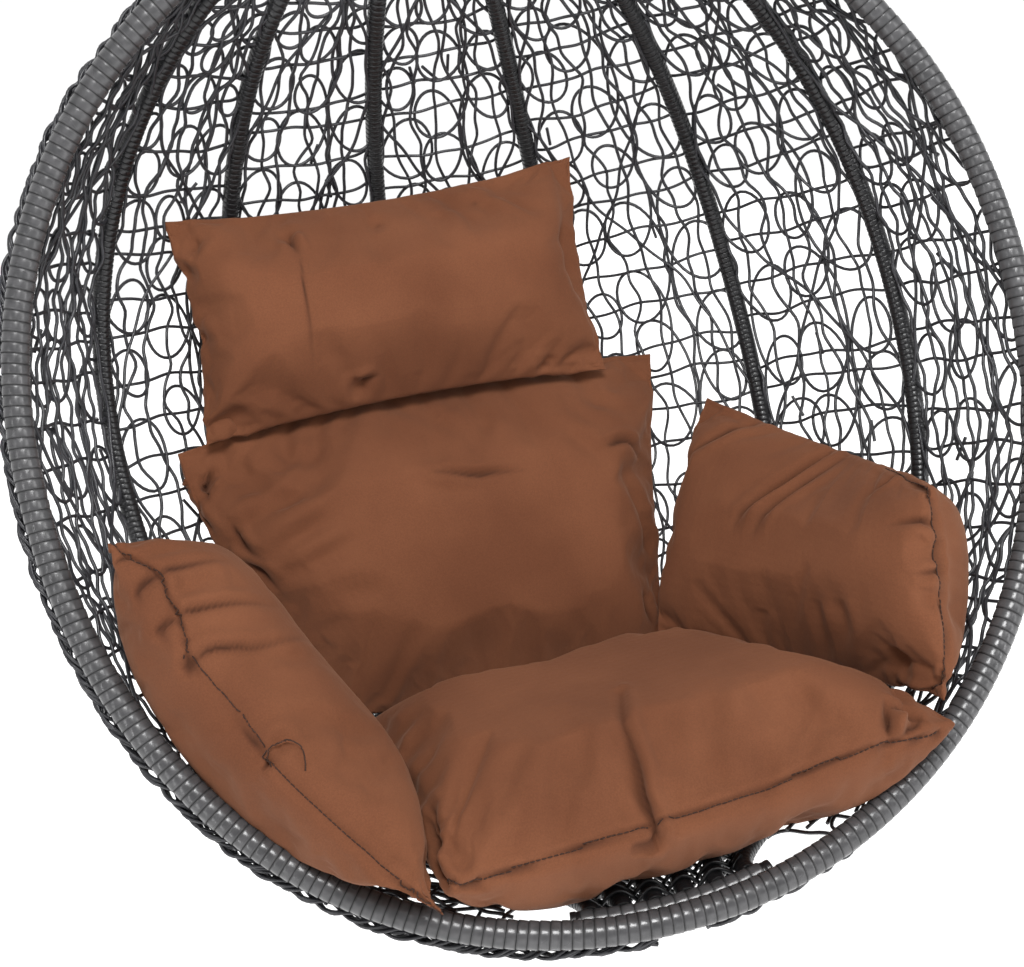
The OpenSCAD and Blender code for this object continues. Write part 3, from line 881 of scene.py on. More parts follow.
@dataclass
class CanePanel(Group):
    """The cane between two tubes: level rows, looping strands, wavy uprights and long crossing diagonals."""

    i: int
    form: BasketForm = FORM
    cane_r: float = 0.002
    rows: int = 32
    first_turn: float = 14.0
    last_turn: float = 162.0
    loop_end: float = 157.0
    crossing_end: float = 160.0
    rim_turns: tuple[float, float] = (28.0, 178.0)
    turn_limits: tuple[float, float] = (9.0, 171.0)
    loop_r: float = 34.0
    loop_pitch: float = 82.0
    loop_step: float = 0.17
    step: float = 6.0
    rim_step: float = 4.0
    rim_back: float = 15.0

    def __post_init__(self) -> None:
        """Seeds the panel's own small irregularities."""
        self.chance = random.Random(7 + self.i)
        self.strands: list[list[Point]] = []
        self.speed = self.form.half_width * math.pi / 180
        self.beside_hoop = self.form.is_hoop(self.i) or self.form.is_hoop(self.i + 1)
        self.start_turn = 24.0 if self.beside_hoop else 15.0

    def at(self, turn: float, across: float, lift: float) -> Point:
        """A point on or off the panel.

        Args:
            turn: the turn from the top.
            across: the share across the panel.
            lift: how far outside the panel's plane, in millimetres.

        Returns:
            The point in metres.
        """
        f = self.form
        turn = min(max(turn, self.turn_limits[0]), self.turn_limits[1])
        return (f.panel(self.i, turn, across) + f.panel_out(self.i, turn) * lift) * MM

    def wobble(self, size: float, wave: float) -> Callable[[float], float]:
        """A gentle wave of random phase, as a hand makes.

        Args:
            size: how high it is.
            wave: the length of its main swing.

        Returns:
            The wave as a function of the way along.
        """
        a, b = self.chance.uniform(0, ROUND), self.chance.uniform(0, ROUND)
        return lambda s: size * (math.sin(ROUND * s / wave + a) + 0.5 * math.sin(ROUND * s / (0.43 * wave) + b))

    def row_lines(self) -> None:
        """Draws the rows, which dip behind the tubes at both ends."""
        f = self.form
        step = (self.last_turn - self.first_turn) / (self.rows - 1)
        for k in range(self.rows):
            turn = self.first_turn + step * k + self.chance.uniform(-0.24, 0.24) * step
            width = f.panel_width(self.i, turn)
            drift, sway = self.wobble(0.28, 170), self.wobble(1.2, 95)
            line = []
            for s in np.linspace(0, 1, max(6, round(width / 6)) + 1):
                ends = (1 - s) ** 8 * (f.tube_r(self.i) + 2) + s ** 8 * (f.tube_r(self.i + 1) + 2)
                line.append(self.at(turn + drift(s * width), s, ends + 1.0 + sway(s * width)))
            self.strands.append(line)

    def looping_line(self, across: float, turned: int) -> None:
        """Draws one strand that runs down the panel in round loops and crosses itself at each.

        Args:
            across: where it runs, as a share of the width.
            turned: 1 or -1 for the way that its loops turn.
        """
        length = (self.loop_end - self.start_turn) * self.speed
        size_wave, pitch_wave, drift = self.wobble(0.17, 230), self.wobble(0.4, 420), self.wobble(5.0, 380)
        line, angle, s = [], self.chance.uniform(0, ROUND), self.chance.uniform(0, 20)
        while s < length:
            turn = self.start_turn + s / self.speed
            width = self.form.panel_width(self.i, turn)
            size = min(self.loop_r, width * 0.175) * (1 + size_wave(s))
            angle += self.loop_step
            s += self.loop_step * self.loop_pitch * size / self.loop_r / (2 * math.pi)
            bend = angle + pitch_wave(s)
            line.append(self.at(turn - math.sin(bend) * size * 1.5 / self.speed,
                                across + (turned * math.cos(bend) * size + drift(s)) / width,
                                2.6 + 3.4 * math.sin(bend)))
        self.strands.append(line)

    def upright_line(self, across: float, swing: float, wave: float) -> None:
        """Draws one upright that sways from side to side.

        Args:
            across: where it runs, as a share of the width.
            swing: how far it sways, in millimetres.
            wave: the length of one sway in millimetres.
        """
        length = (self.last_turn - self.start_turn) * self.speed
        start, end = self.chance.uniform(0, 60), length - self.chance.uniform(0, 60)
        sway, lift = self.wobble(swing, wave), self.wobble(2.3, 74)
        line = []
        for s in np.arange(start, end, self.step):
            turn = self.start_turn + s / self.speed
            width = self.form.panel_width(self.i, turn)
            place = min(max(across + sway(s) / width, 0.02), 0.98)
            line.append(self.at(turn, place, -1.0 + lift(s)))
        self.strands.append(line)

    def crossing_line(self, phase: float, wave: float) -> None:
        """Draws one long strand that swings steeply from tube to tube.

        Args:
            phase: where its swing starts, in turns.
            wave: the length of one swing there and back, in panel widths.
        """
        length = (self.crossing_end - self.start_turn) * self.speed
        angle, drift = 2 * math.pi * phase, self.wobble(4.0, 170)
        line = []
        for s in np.arange(0, length, self.step):
            turn = self.start_turn + s / self.speed
            width = self.form.panel_width(self.i, turn)
            angle += 2 * math.pi * self.step / (wave * max(width, 70.0))
            across = 0.5 + 0.46 * math.sin(angle) + drift(s) / width
            line.append(self.at(turn, min(max(across, 0.03), 0.97), -2.5 + 2.4 * math.cos(2 * angle)))
        self.strands.append(line)

    def loose_ends(self) -> None:
        """Leaves a few short ends of cane standing off the rows."""
        for _ in range(5):
            turn, across = self.chance.uniform(40, 140), self.chance.uniform(0.15, 0.85)
            lean = self.chance.uniform(-0.12, 0.12)
            self.strands.append([self.at(turn + s * 2.6, across + lean * s, 2.0 + 3.0 * s) for s in (0, 0.4, 0.75, 1)])

    def rim_hooks(self) -> None:
        """Braids cane along the hoop's outer back edge, where the panel is tied to it."""
        f = self.form
        left = self.i == 0
        side = 0 if left else f.last
        back = f.turned(np.array([0.0, 1.0, 0.0]))
        start, end = self.rim_turns
        for strand in range(8 if left else 5):
            phase, sway = strand * 2.4 + self.chance.uniform(-0.4, 0.4), self.wobble(1.2, 150)
            wave = (52.0, 61.0, 46.0, 70.0)[strand % 4]
            line = []
            for s in np.arange(0, (end - start) * self.speed, self.rim_step):
                turn = start + s / self.speed
                here = f.tube(side, turn)
                along = unit(f.tube(side, turn + 0.5) - f.tube(side, turn - 0.5))
                out = np.cross(along, back) * (-1 if left else 1)
                low = 0.5 - 0.5 * math.cos(math.radians(min(turn, end)))
                far = f.hoop_r + 1 + 8 * low if left else 2 + (f.hoop_r + 4) * max(low - 0.86, 0) / 0.14
                angle = phase + ROUND * s / wave
                line.append((here + out * (far + 5.0 * math.sin(angle) + sway(s))
                             + back * (self.rim_back + 2.5 * (strand % 3) + 4 * math.cos(angle))) * MM)
            self.strands.append(line)

    def build(self) -> None:
        """Draws all the lines and gives them the cane's thickness."""
        self.row_lines()
        for across, turned in ((0.19, 1), (0.5, -1), (0.81, 1)):
            self.looping_line(across + self.chance.uniform(-0.03, 0.03), turned)
        uprights = 12 if self.beside_hoop else 8
        for c in range(uprights):
            self.upright_line((c + 0.5) / uprights + self.chance.uniform(-0.035, 0.035), self.chance.uniform(4, 9),
                              self.chance.uniform(120, 240))
        for phase in (0.0, 0.5):
            self.crossing_line(phase + self.chance.uniform(-0.08, 0.08), self.chance.uniform(3.6, 4.6))
        self.loose_ends()
        if self.beside_hoop:
            self.rim_hooks()
        piece = lines_piece(f"cane_{self.i + 1}", self.strands, self.cane_r)
        Finish.CANE.dress(piece)
        self.settle(piece, "round_cane", f"weave_{self.i + 1}")


@dataclass(frozen=True)
class CushionForm:
    """A pillow between four corners of its middle surface, in shares of the basket, and how full it is.

    The thickness, the bends and how far the cover reaches past the solid's left, right, bottom and top edges are in
    millimetres. The rest are shares: how much of the thickness lies in front, how far each edge is drawn in, how the
    back falls off across and along, how full the face is, and how much filling it has, which is not used.
    """

    node: str
    corners: tuple[tuple[float, float, float], ...]
    thick: float
    front: float
    bend: tuple[float, float]
    draw: tuple[float, float, float, float]
    fall: tuple[float, float]
    full: tuple[float, float] = (3.2, 0.55)
    fill: float = 0.8
    reach: tuple[float, float, float, float] = (0.0, 0.0, 0.0, 0.0)
    slack: float = 0.95

    def placed(self) -> Point:
        """The corners in millimetres in the basket's frame: left top, right top, right bottom, left bottom."""
        f, rows = FORM, []
        for x, y, z in self.corners:
            level = z * (f.dome_rise if z > 0 else f.base_drop)
            rows.append((x * f.half_width, math.tan(math.radians(f.lean_deg)) * level + y * f.depth, level))
        return np.array(rows)

    def half_size(self) -> tuple[float, float]:
        """Half its mean width and height in millimetres."""
        c = self.placed()
        return np.linalg.norm(c[1] + c[2] - c[0] - c[3]) / 4, np.linalg.norm(c[0] + c[1] - c[2] - c[3]) / 4

    def point(self, u: Point, v: Point, side: int) -> Point:
        """Points of the cover.

        Args:
            u: places across, from -1 to 1.
            v: places along, from -1 to 1.
            side: 1 for the front, -1 for the back.

        Returns:
            The hung points in metres, one row each.
        """
        c = self.placed()
        wide, tall = self.half_size()
        left, right, bottom, top = self.draw
        more_left, more_right, more_bottom, more_top = self.reach
        a = (u * (1 - np.where(u < 0, left, right) * (1 - v * v)
                  + np.where(u < 0, more_left, more_right) / wide * u ** 4))[:, None]
        b = (v * (1 - np.where(v < 0, bottom, top) * (1 - u * u)
                  + np.where(v < 0, more_bottom, more_top) / tall * v ** 4))[:, None]
        low, high = mix(c[3], c[2], (a + 1) / 2), mix(c[0], c[1], (a + 1) / 2)
        normal = np.cross(mix(c[2] - c[3], c[1] - c[0], (b + 1) / 2), mix(c[0] - c[3], c[1] - c[2], (a + 1) / 2))
        normal /= np.linalg.norm(normal, axis=1, keepdims=True)
        body = np.clip((1 - np.abs(u) ** self.full[0]) * (1 - np.abs(v) ** self.full[0]), 0, None) ** self.full[1]
        share = self.front if side > 0 else -(1 - self.front) * (1 - self.fall[0] * u) * (1 - self.fall[1] * v)
        sag = self.bend[0] * (1 - u * u) + self.bend[1] * (1 - v * v)
        flat = mix(low, high, (b + 1) / 2) + normal * (self.thick * self.slack * body * share - sag)[:, None]
        return np.array([FORM.hung(p) for p in flat]) * MM


@dataclass(frozen=True)
class Groove:
    """A fold's cross-section, in shares of its width: a valley with raised lips beside it and painted shade in it."""

    wide: float = 1.0
    power: float = 2.0
    lip: float = 0.0
    lean: float = 0.0
    lip_at: float = 2.0
    lip_wide: float = 1.0
    dark: float = 0.0
    shade_wide: float = 1.0

    def across(self, x: Point, side: Point) -> tuple[Point, Point]:
        """How deep the cover lies beside a fold's line, and how much painted shade it gets.

        Args:
            x: distances from the line, in shares of the width.
            side: 1 or -1 for the side of the line.

        Returns:
            The depths and the painted shades, as shares of the most.
        """
        lips = (self.lip + self.lean * side) * np.exp(-((x - self.lip_at) / self.lip_wide) ** 2)
        return np.exp(-(x / self.wide) ** self.power) - lips, self.dark * np.exp(-(x / self.shade_wide) ** 2)


class FoldKind(Enum):
    """What a fold is: a loose thread, a sewn seam, a sharp crease, a soft valley or a pinched spot."""

    THREAD = Groove()
    SEAM = Groove(0.8, lip=0.3, lip_at=2.2, lip_wide=1.1, dark=0.7, shade_wide=0.5)
    CREASE = Groove(0.55, 1.6, lip=0.34, lean=0.2, lip_at=1.8, lip_wide=0.75, dark=0.85, shade_wide=0.4)
    SOFT = Groove(lip=0.35, lean=0.15, lip_wide=0.85)
    PINCH = Groove(1.4 ** -0.5, lip=0.2, lip_at=1.8, lip_wide=0.6, dark=0.4, shade_wide=0.3)


THREAD, SEAM, CREASE, SOFT, PINCH = FoldKind


@dataclass(frozen=True)
class Fold:
    """A fold of a cover: depth and width in millimetres, and a line of places across and along the cover.

    The places are in thousandths of its half size, pair by pair. The peak is the share of its length where it is
    strongest.
    """

    kind: FoldKind
    deep: float
    wide: float
    line: tuple[float, ...]
    peak: float = 0.2

    def path(self) -> Point:
        """The line's places, smoothly joined."""
        return through(np.reshape(self.line, (-1, 2)) / 1000, 14)

    def strength(self, share: Point) -> Point:
        """How strong the fold is at a share of its length: a seam all along, any other most at its peak."""
        if self.kind is SEAM or len(self.line) < 4:
            return np.ones_like(share)
        rise = np.interp(share, (0.0, self.peak, 1.0), (0.35, 1.0, 0.0))
        return rise * rise * (3 - 2 * rise)


FOLDS: dict[str, tuple[Fold, ...]] = {
    "headrest_cushion": (
        Fold(CREASE, 1.9, 3.5, (-460, 464, -480, 136, -484, -320, -484, -760), 0.4),
        Fold(CREASE, 10.2, 6.8, (-492, 740, -472, 604, -460, 452)),
        Fold(PINCH, 6.4, 10.5, (-476, 760)),
        Fold(PINCH, 7.2, 11.2, (-244, -892)),
        Fold(CREASE, 6.5, 6.8, (-248, -876, -200, -840, -136, -828)),
        Fold(SOFT, 6.4, 8.8, (-880, 820, -924, 664, -924, 516)),
        Fold(SOFT, 5.6, 10, (-1000, 540, -972, 456, -908, 444)),
        Fold(PINCH, 4, 9.8, (-1000, -48)),
        Fold(SOFT, 6.4, 10, (-1000, -48, -980, -164, -968, -328)),
        Fold(SOFT, 5.6, 12.5, (-952, -1000, -836, -852, -752, -632)),
        Fold(PINCH, 3.6, 10.5, (-44, 760)),
        Fold(PINCH, 3.6, 10.5, (456, 796)),
        Fold(SOFT, 4.8, 10, (244, 772, 260, 604, 252, 436)),
        Fold(SOFT, 4.8, 10, (492, 780, 520, 612, 516, 464)),
        Fold(SOFT, 7.2, 11.2, (928, 788, 924, 268, 936, -212, 972, -616), 0.5),
        Fold(PINCH, 4, 9.8, (696, -948)),
        Fold(SOFT, 4.8, 8.8, (696, -932, 736, -832, 796, -796)),
        Fold(SOFT, 3.2, 15, (-116, -92, 180, -316, 504, -300), 0.5),
    ),
    "back_cushion": (
        Fold(CREASE, 6.5, 6.1, (-104, 408, 36, 324, 156, 300, 352, 244), 0.45),
        Fold(SOFT, 4, 10, (-184, 340, -92, 252, 84, 216), 0.5),
        Fold(SOFT, 8, 11.2, (-924, 348, -824, 412, -696, 480, -584, 544, -464, 560), 0.4),
        Fold(SOFT, 7.2, 11.2, (-848, 136, -708, 208, -560, 276, -420, 348), 0.4),
        Fold(SOFT, 6.4, 11.2, (-840, 4, -700, 48, -560, 88, -416, 160), 0.4),
        Fold(CREASE, 7.2, 6.8, (-900, 424, -912, 296, -868, 164, -808, 128)),
        Fold(CREASE, 7.2, 6.8, (-1000, 640, -984, 508, -964, 348)),
        Fold(CREASE, 11.6, 7.4, (-900, 848, -940, 728, -940, 616)),
        Fold(CREASE, 7.2, 8.1, (-944, 176, -900, 12, -892, -188)),
        Fold(SOFT, 4.8, 10, (-628, 884, -568, 768, -444, 728), 0.5),
        Fold(SOFT, 4.8, 10, (8, 784, 36, 664, 24, 556)),
        Fold(SOFT, 4, 10, (180, 700, 148, 468)),
        Fold(CREASE, 7.2, 6.8, (696, 316, 808, 340, 916, 236, 996, 208)),
        Fold(SOFT, 4.8, 10, (496, 488, 624, 292, 720, 188)),
        Fold(SOFT, 8, 10, (792, 160, 872, -116, 936, -364, 972, -616), 0.5),
        Fold(CREASE, 8.7, 8.1, (852, -680, 880, -832, 976, -980)),
        Fold(SOFT, 4.8, 11.2, (-132, 996, -84, 856, 20, 780)),
        Fold(SOFT, 4.8, 10, (668, 684, 784, 576, 952, 552)),
        Fold(SOFT, 4, 12.5, (-740, -212, -596, -192, -440, -280), 0.5),
    ),
    "seat_cushion": (
        Fold(SEAM, 3.8, 4.2, (-1000, -960, -952, -1000, -864, -996, -692, -992, -496, -988, -280, -984, -80, -984, 160,
             -984, 400, -980, 676, -988, 912, -1000)),
        Fold(CREASE, 15.2, 7.4, (-28, -248, -120, -480, -172, -644, -216, -800, -252, -896, -268, -972, -276, -996,
             -272, -1000), 0.9),
        Fold(CREASE, 8, 8.1, (-264, -1000, -332, -1000, -372, -1000, -380, -1000)),
        Fold(SOFT, 6.4, 8.8, (-252, -1000, -280, -1000, -312, -1000)),
        Fold(CREASE, 12.3, 6.1, (772, -868, 720, -944, 692, -992), 0.6),
        Fold(SOFT, 6.4, 8.8, (688, -996, 628, -1000, 556, -1000)),
        Fold(CREASE, 7.2, 6.8, (752, -984, 832, -964, 916, -924)),
        Fold(CREASE, 5.8, 6.8, (780, -888, 836, -932, 892, -988)),
        Fold(SOFT, 5.6, 12.5, (216, -508, 144, -700, 124, -840)),
        Fold(SOFT, 4.8, 11.2, (384, -576, 340, -724, 300, -844)),
        Fold(SOFT, 4, 11.2, (524, -676, 480, -788, 436, -884)),
        Fold(CREASE, 13, 7.4, (-968, -540, -980, -696, -992, -856, -1000, -1000, -1000, -1000), 0.5),
        Fold(CREASE, 10.9, 8.1, (-936, -488, -956, -712, -964, -872), 0.6),
        Fold(SOFT, 8, 8.8, (-916, -760, -944, -904, -960, -972)),
        Fold(SOFT, 5.6, 10, (-968, -8, -960, -248, -964, -444)),
        Fold(CREASE, 5.8, 6.1, (-888, -996, -908, -1000, -948, -1000)),
        Fold(SOFT, 5.6, 11.2, (-968, 356, -828, 288, -680, 276)),
        Fold(SOFT, 4.8, 11.2, (-944, 76, -784, 88, -620, 124)),
        Fold(SOFT, 4, 15, (-340, -344, -396, -700, -452, -876), 0.5),
        Fold(SOFT, 4, 12.5, (8, -848, 40, -928, 132, -940), 0.5),
    ),
    "arm_cushion_left": (
        Fold(THREAD, 6, 1, (-996, -120, -988, -84, -968, -84, -944, -116, -932, -172, -948, -220, -964, -248)),
        Fold(SEAM, 4.2, 4.2, (-944, 996, -948, 904, -920, 776, -944, 664, -956, 588, -988, 436, -988, 404, -984, 296,
             -984, 116, -992, -88, -992, -124, -992, -260, -992, -444, -992, -628, -996, -820, -996, -976)),
        Fold(CREASE, 6.5, 6.1, (-956, 588, -860, 544, -660, 480, -312, 384, 216, 272)),
        Fold(CREASE, 7.2, 6.8, (-984, 408, -936, 388, -836, 320, -644, 232, 12, 92, 344, -48)),
        Fold(SOFT, 4, 8.8, (-720, 232, -492, 108, -108, -24, 332, -208)),
        Fold(SOFT, 4, 7.5, (-924, 908, -876, 864, -616, 820, -340, 780)),
        Fold(CREASE, 3.6, 6.8, (-920, 776, -776, 744, -484, 700, -64, 628)),
        Fold(SOFT, 3.5, 6.2, (-984, 112, -948, 76, -860, 48)),
        Fold(SOFT, 6.4, 7.5, (-980, -88, -924, -112, -772, -180)),
        Fold(CREASE, 5.1, 5.4, (-944, 904, -996, 916, -1000, 904)),
        Fold(CREASE, 6.5, 6.8, (-916, 764, -992, 776, -1000, 748, -1000, 684)),
        Fold(CREASE, 8, 6.8, (-964, 584, -996, 596, -1000, 592, -1000, 536, -1000, 460)),
        Fold(CREASE, 10.9, 8.1, (-988, 412, -1000, 408, -1000, 376, -1000, 344)),
        Fold(SOFT, 11.2, 18.8, (-1000, 408, -1000, 232, -1000, 56, -1000, -96, -1000, -256), 0.5),
        Fold(SOFT, 4, 6.2, (-988, 112, -1000, 120, -1000, 120)),
        Fold(CREASE, 8, 5.4, (-996, -120, -1000, -112, -1000, -108)),
        Fold(SOFT, 3.5, 8.8, (-996, -76, -1000, -52, -1000, -36)),
        Fold(CREASE, 5.8, 5.4, (-660, -904, -764, -936, -868, -968, -956, -992), 0.8),
        Fold(SOFT, 6.4, 7.5, (-996, -812, -948, -828, -864, -824)),
        Fold(SOFT, 4.8, 7.5, (-1000, -900, -948, -892, -864, -872)),
    ),
    "arm_cushion_right": (
        Fold(SEAM, 3.5, 4.2, (512, 1000, 732, 992, 904, 972, 1000, 880, 1000, 728, 1000, 604, 1000, 440, 1000, 244,
             1000, 4, 996, -168, 1000, -388, 996, -636, 980, -812, 904, -972)),
        Fold(CREASE, 10.9, 8.1, (8, 1000, -36, 920, -124, 672, -228, 428, -316, 196, -360, 40, -392, -136), 0.45),
        Fold(CREASE, 7.2, 7.4, (152, 988, 52, 784, -44, 544, -132, 316, -208, 52, -240, -144), 0.45),
        Fold(CREASE, 7.2, 8.1, (-596, 1000, -656, 900, -724, 740, -840, 544, -972, 304), 0.45),
        Fold(CREASE, 5.8, 6.1, (684, 996, 644, 868, 512, 704)),
        Fold(CREASE, 8, 6.8, (1000, 672, 940, 636, 832, 532, 716, 424)),
        Fold(CREASE, 8.7, 6.1, (1000, 184, 1000, 208, 948, 144, 836, 36)),
        Fold(SOFT, 6.4, 7.5, (1000, 372, 968, 332, 804, 216)),
        Fold(SOFT, 4, 7.5, (1000, -44, 944, -128, 856, -288)),
        Fold(SOFT, 4.8, 10, (396, -360, 400, -632, 288, -916)),
        Fold(SOFT, 4, 8.8, (232, -432, 196, -776, 152, -960)),
        Fold(SOFT, 3.5, 8.8, (-216, -660, -268, -932)),
        Fold(CREASE, 9.4, 6.8, (664, -984, 740, -1000, 904, -1000, 1000, -1000)),
        Fold(CREASE, 7.2, 6.1, (796, -1000, 916, -1000, 1000, -1000)),
        Fold(SOFT, 6.4, 8.8, (668, -724, 732, -864, 704, -988)),
    ),
}


@dataclass
class Cushion(Group):
    """A loose cushion: two sewn sheets of cloth, blown up by simulation, then seamed and creased."""

    form: CushionForm
    swell: float = 0.022
    pressure: float = 4.0
    stretch: float = -0.045
    frames: int = 20
    cell: float = 0.0046
    press_near: float = 0.018
    stitch: float = 0.0046
    stitch_step: float = 1.28
    thread_r: float = 0.0007

    def start(self) -> bpy.types.Object:
        """Cuts the front and the back sheet and sews them round the edge.

        Returns:
            The cover, still smooth.
        """
        wide, tall = (2 * MM * half for half in self.form.half_size())
        nu, nv = round(wide / self.cell), round(tall / self.cell)
        self.columns, self.rows = (0.45 * s + 0.55 * np.sin(s * math.pi / 2)
                                   for s in (np.linspace(-1, 1, nu + 1), np.linspace(-1, 1, nv + 1)))
        v, u = (g.ravel() for g in np.meshgrid(self.rows, self.columns, indexing="ij"))
        inner = (np.abs(u) < 1) & (np.abs(v) < 1)
        points = np.vstack([self.form.point(u, v, 1), self.form.point(u[inner], v[inner], -1)])
        behind = np.arange(u.size)
        behind[inner] = u.size + np.arange(inner.sum())
        corner = np.array([j * (nu + 1) + i for j in range(nv) for i in range(nu)])
        quads = np.stack([corner, corner + 1, corner + nu + 2, corner + nu + 1], 1)
        faces = np.vstack([quads, behind[quads[:, ::-1]]])
        name = self.form.node + "_cover"
        data = bpy.data.meshes.new(name)
        data.from_pydata(points.tolist(), [], faces.tolist())
        layer = data.uv_layers.new(name="cloth")
        flat = np.stack([u * wide / 2, v * tall / 2], 1)
        both = np.vstack([flat[quads.ravel()], flat[quads[:, ::-1].ravel()] + (wide, tall)])
        layer.data.foreach_set("uv", both.astype(np.float32).ravel())
        piece = linked(name, data)
        piece.vertex_groups.new(name="sewn_edge").add(np.flatnonzero(~inner).tolist(), 1.0, "REPLACE")
        return piece

    def blow_up(self, piece: bpy.types.Object) -> None:
        """Fills the cover with cloth simulation, and caps how far it moves.

        Args:
            piece: the smooth cover.
        """
        rest = points_of(piece)
        take(piece)
        modifier = piece.modifiers.new("cloth", "CLOTH")
        cloth = {"quality": 6, "mass": 0.3, "tension_stiffness": 15, "compression_stiffness": 15,
                 "shear_stiffness": 5, "bending_stiffness": 0.3, "use_pressure": True,
                 "uniform_pressure_force": self.pressure, "shrink_min": self.stretch,
                 "vertex_group_mass": "sewn_edge", "pin_stiffness": 1.0}
        for key, value in cloth.items():
            setattr(modifier.settings, key, value)
        modifier.settings.effector_weights.gravity = 0.0
        modifier.point_cache.frame_start = 1
        modifier.point_cache.frame_end = self.frames
        scene = bpy.context.scene
        for step in range(self.frames):
            scene.frame_set(step + 1)
        bpy.ops.object.modifier_apply(modifier=modifier.name)
        scene.frame_set(1)
        moved = points_of(piece) - rest
        far = np.linalg.norm(moved, axis=1, keepdims=True)
        moved *= np.where(far > self.swell, self.swell / np.maximum(far, 1e-9), 1.0)
        put_points(piece, rest + moved)

    def on_front(self, places: Point, front: Point) -> Point:
        """Finds points of the blown-up front.

        Args:
            places: places across and along it, one row each.
            front: the front's points by row and column.

        Returns:
            The points.
        """
        x = np.interp(places[:, 0], self.columns, np.arange(len(self.columns)))
        y = np.interp(places[:, 1], self.rows, np.arange(len(self.rows)))
        i, j = np.clip(x.astype(int), 0, len(self.columns) - 2), np.clip(y.astype(int), 0, len(self.rows) - 2)
        s, t = (x - i)[:, None], (y - j)[:, None]
        return mix(mix(front[j, i], front[j, i + 1], s), mix(front[j + 1, i], front[j + 1, i + 1], s), t)

    def press(self, piece: bpy.types.Object, front: Point) -> None:
        """Presses the folds into the cover and marks the painted shade in them.

        Args:
            piece: the blown-up cover.
            front: the front's points by row and column.
        """
        points = points_of(piece)
        normals = np.empty(len(points) * 3, np.float32)
        piece.data.vertices.foreach_get("normal", normals)
        normals = normals.reshape(-1, 3).astype(float)
        moved, shade = np.zeros(len(points)), np.zeros(len(points))
        for fold in FOLDS[self.form.node]:
            if fold.kind is THREAD:
                continue
            line = self.on_front(fold.path(), front)
            wide = fold.wide * MM
            near = np.flatnonzero(((points > line.min(0) - 4 * wide) & (points < line.max(0) + 4 * wide)).all(1))
            k = np.array([((line - p) ** 2).sum(1).argmin() for p in points[near]])
            way = np.gradient(line, axis=0)
            way /= np.maximum(np.linalg.norm(way, axis=1, keepdims=True), 1e-9)
            off, n = points[near] - line[k], normals[near]
            inner = (k > 0) & (k < len(line) - 1)
            off -= way[k] * np.where(inner, (off * way[k]).sum(1), 0.0)[:, None]
            high = (off * n).sum(1)
            off -= n * high[:, None]
            x = np.linalg.norm(off, axis=1) / wide
            depth, dark = fold.kind.value.across(x, np.sign((np.cross(n, way[k]) * off).sum(1)))
            held = fold.strength(k / (len(line) - 1)) * (np.abs(high) < self.press_near) * (x < 4)
            moved[near] += depth * held * fold.deep * MM
            shade[near] = np.maximum(shade[near], dark * held)
        put_points(piece, points - normals * moved[:, None])
        # The seam_shade marks are painted shade along seams, creases and pinches.
        mark_points(piece, "seam_shade", shade.astype(np.float32))

    def lifted(self, cover: BVHTree, path: Point, lifts: Iterable[float]) -> list[Point]:
        """Lays a line on the cover, lifted off it by some millimetres at each point.

        Args:
            cover: the cover, to find its nearest points.
            path: the line's points.
            lifts: how far each is lifted.

        Returns:
            The lifted points.
        """
        nearest = (cover.find_nearest(p) for p in path)
        return [np.array(spot) + np.array(normal) * lift * MM for (spot, normal, *_), lift in zip(nearest, lifts)]

    def stitches(self, piece: bpy.types.Object, front: Point) -> None:
        """Sews thread along the cover's seams.

        Args:
            piece: the folded cover.
            front: the front's points by row and column.
        """
        cover = BVHTree.FromObject(piece, bpy.context.evaluated_depsgraph_get())
        lines = []
        for fold in (f for f in FOLDS[self.form.node] if f.kind in (SEAM, THREAD)):
            path = self.on_front(fold.path(), front)
            if fold.kind is THREAD:
                lifts = (fold.deep * (0.1 + math.sin(math.pi * k / len(path))) for k in range(len(path)))
                lines.append(self.lifted(cover, path, lifts))
                continue
            far = np.concatenate([[0], np.cumsum(np.linalg.norm(np.diff(path, axis=0), axis=1))])
            for start in np.arange(0.002, far[-1] - self.stitch, self.stitch * self.stitch_step):
                places = start + np.linspace(0.0, self.stitch, 5)
                points = np.stack([np.interp(places, far, path[:, axis]) for axis in range(3)], 1)
                lines.append(self.lifted(cover, points, (-0.4, 0.45, 0.6, 0.45, -0.4)))
        if lines:
            thread = lines_piece(self.form.node + "_thread", lines, self.thread_r)
            Finish.THREAD.dress(thread)
            self.settle(thread, "cushion_cloth")

    def build(self) -> None:
        """Makes the cushion."""
        piece = self.start()
        self.blow_up(piece)
        front = points_of(piece)[:len(self.rows) * len(self.columns)].reshape(len(self.rows), len(self.columns), 3)
        apply_modifier(piece, "SUBSURF", levels=1, render_levels=1)
        self.press(piece, front)
        smooth(piece)
        Finish.CLOTH.dress(piece)
        self.stitches(piece, front)
        self.settle(piece, "cushion_cloth", self.form.node)


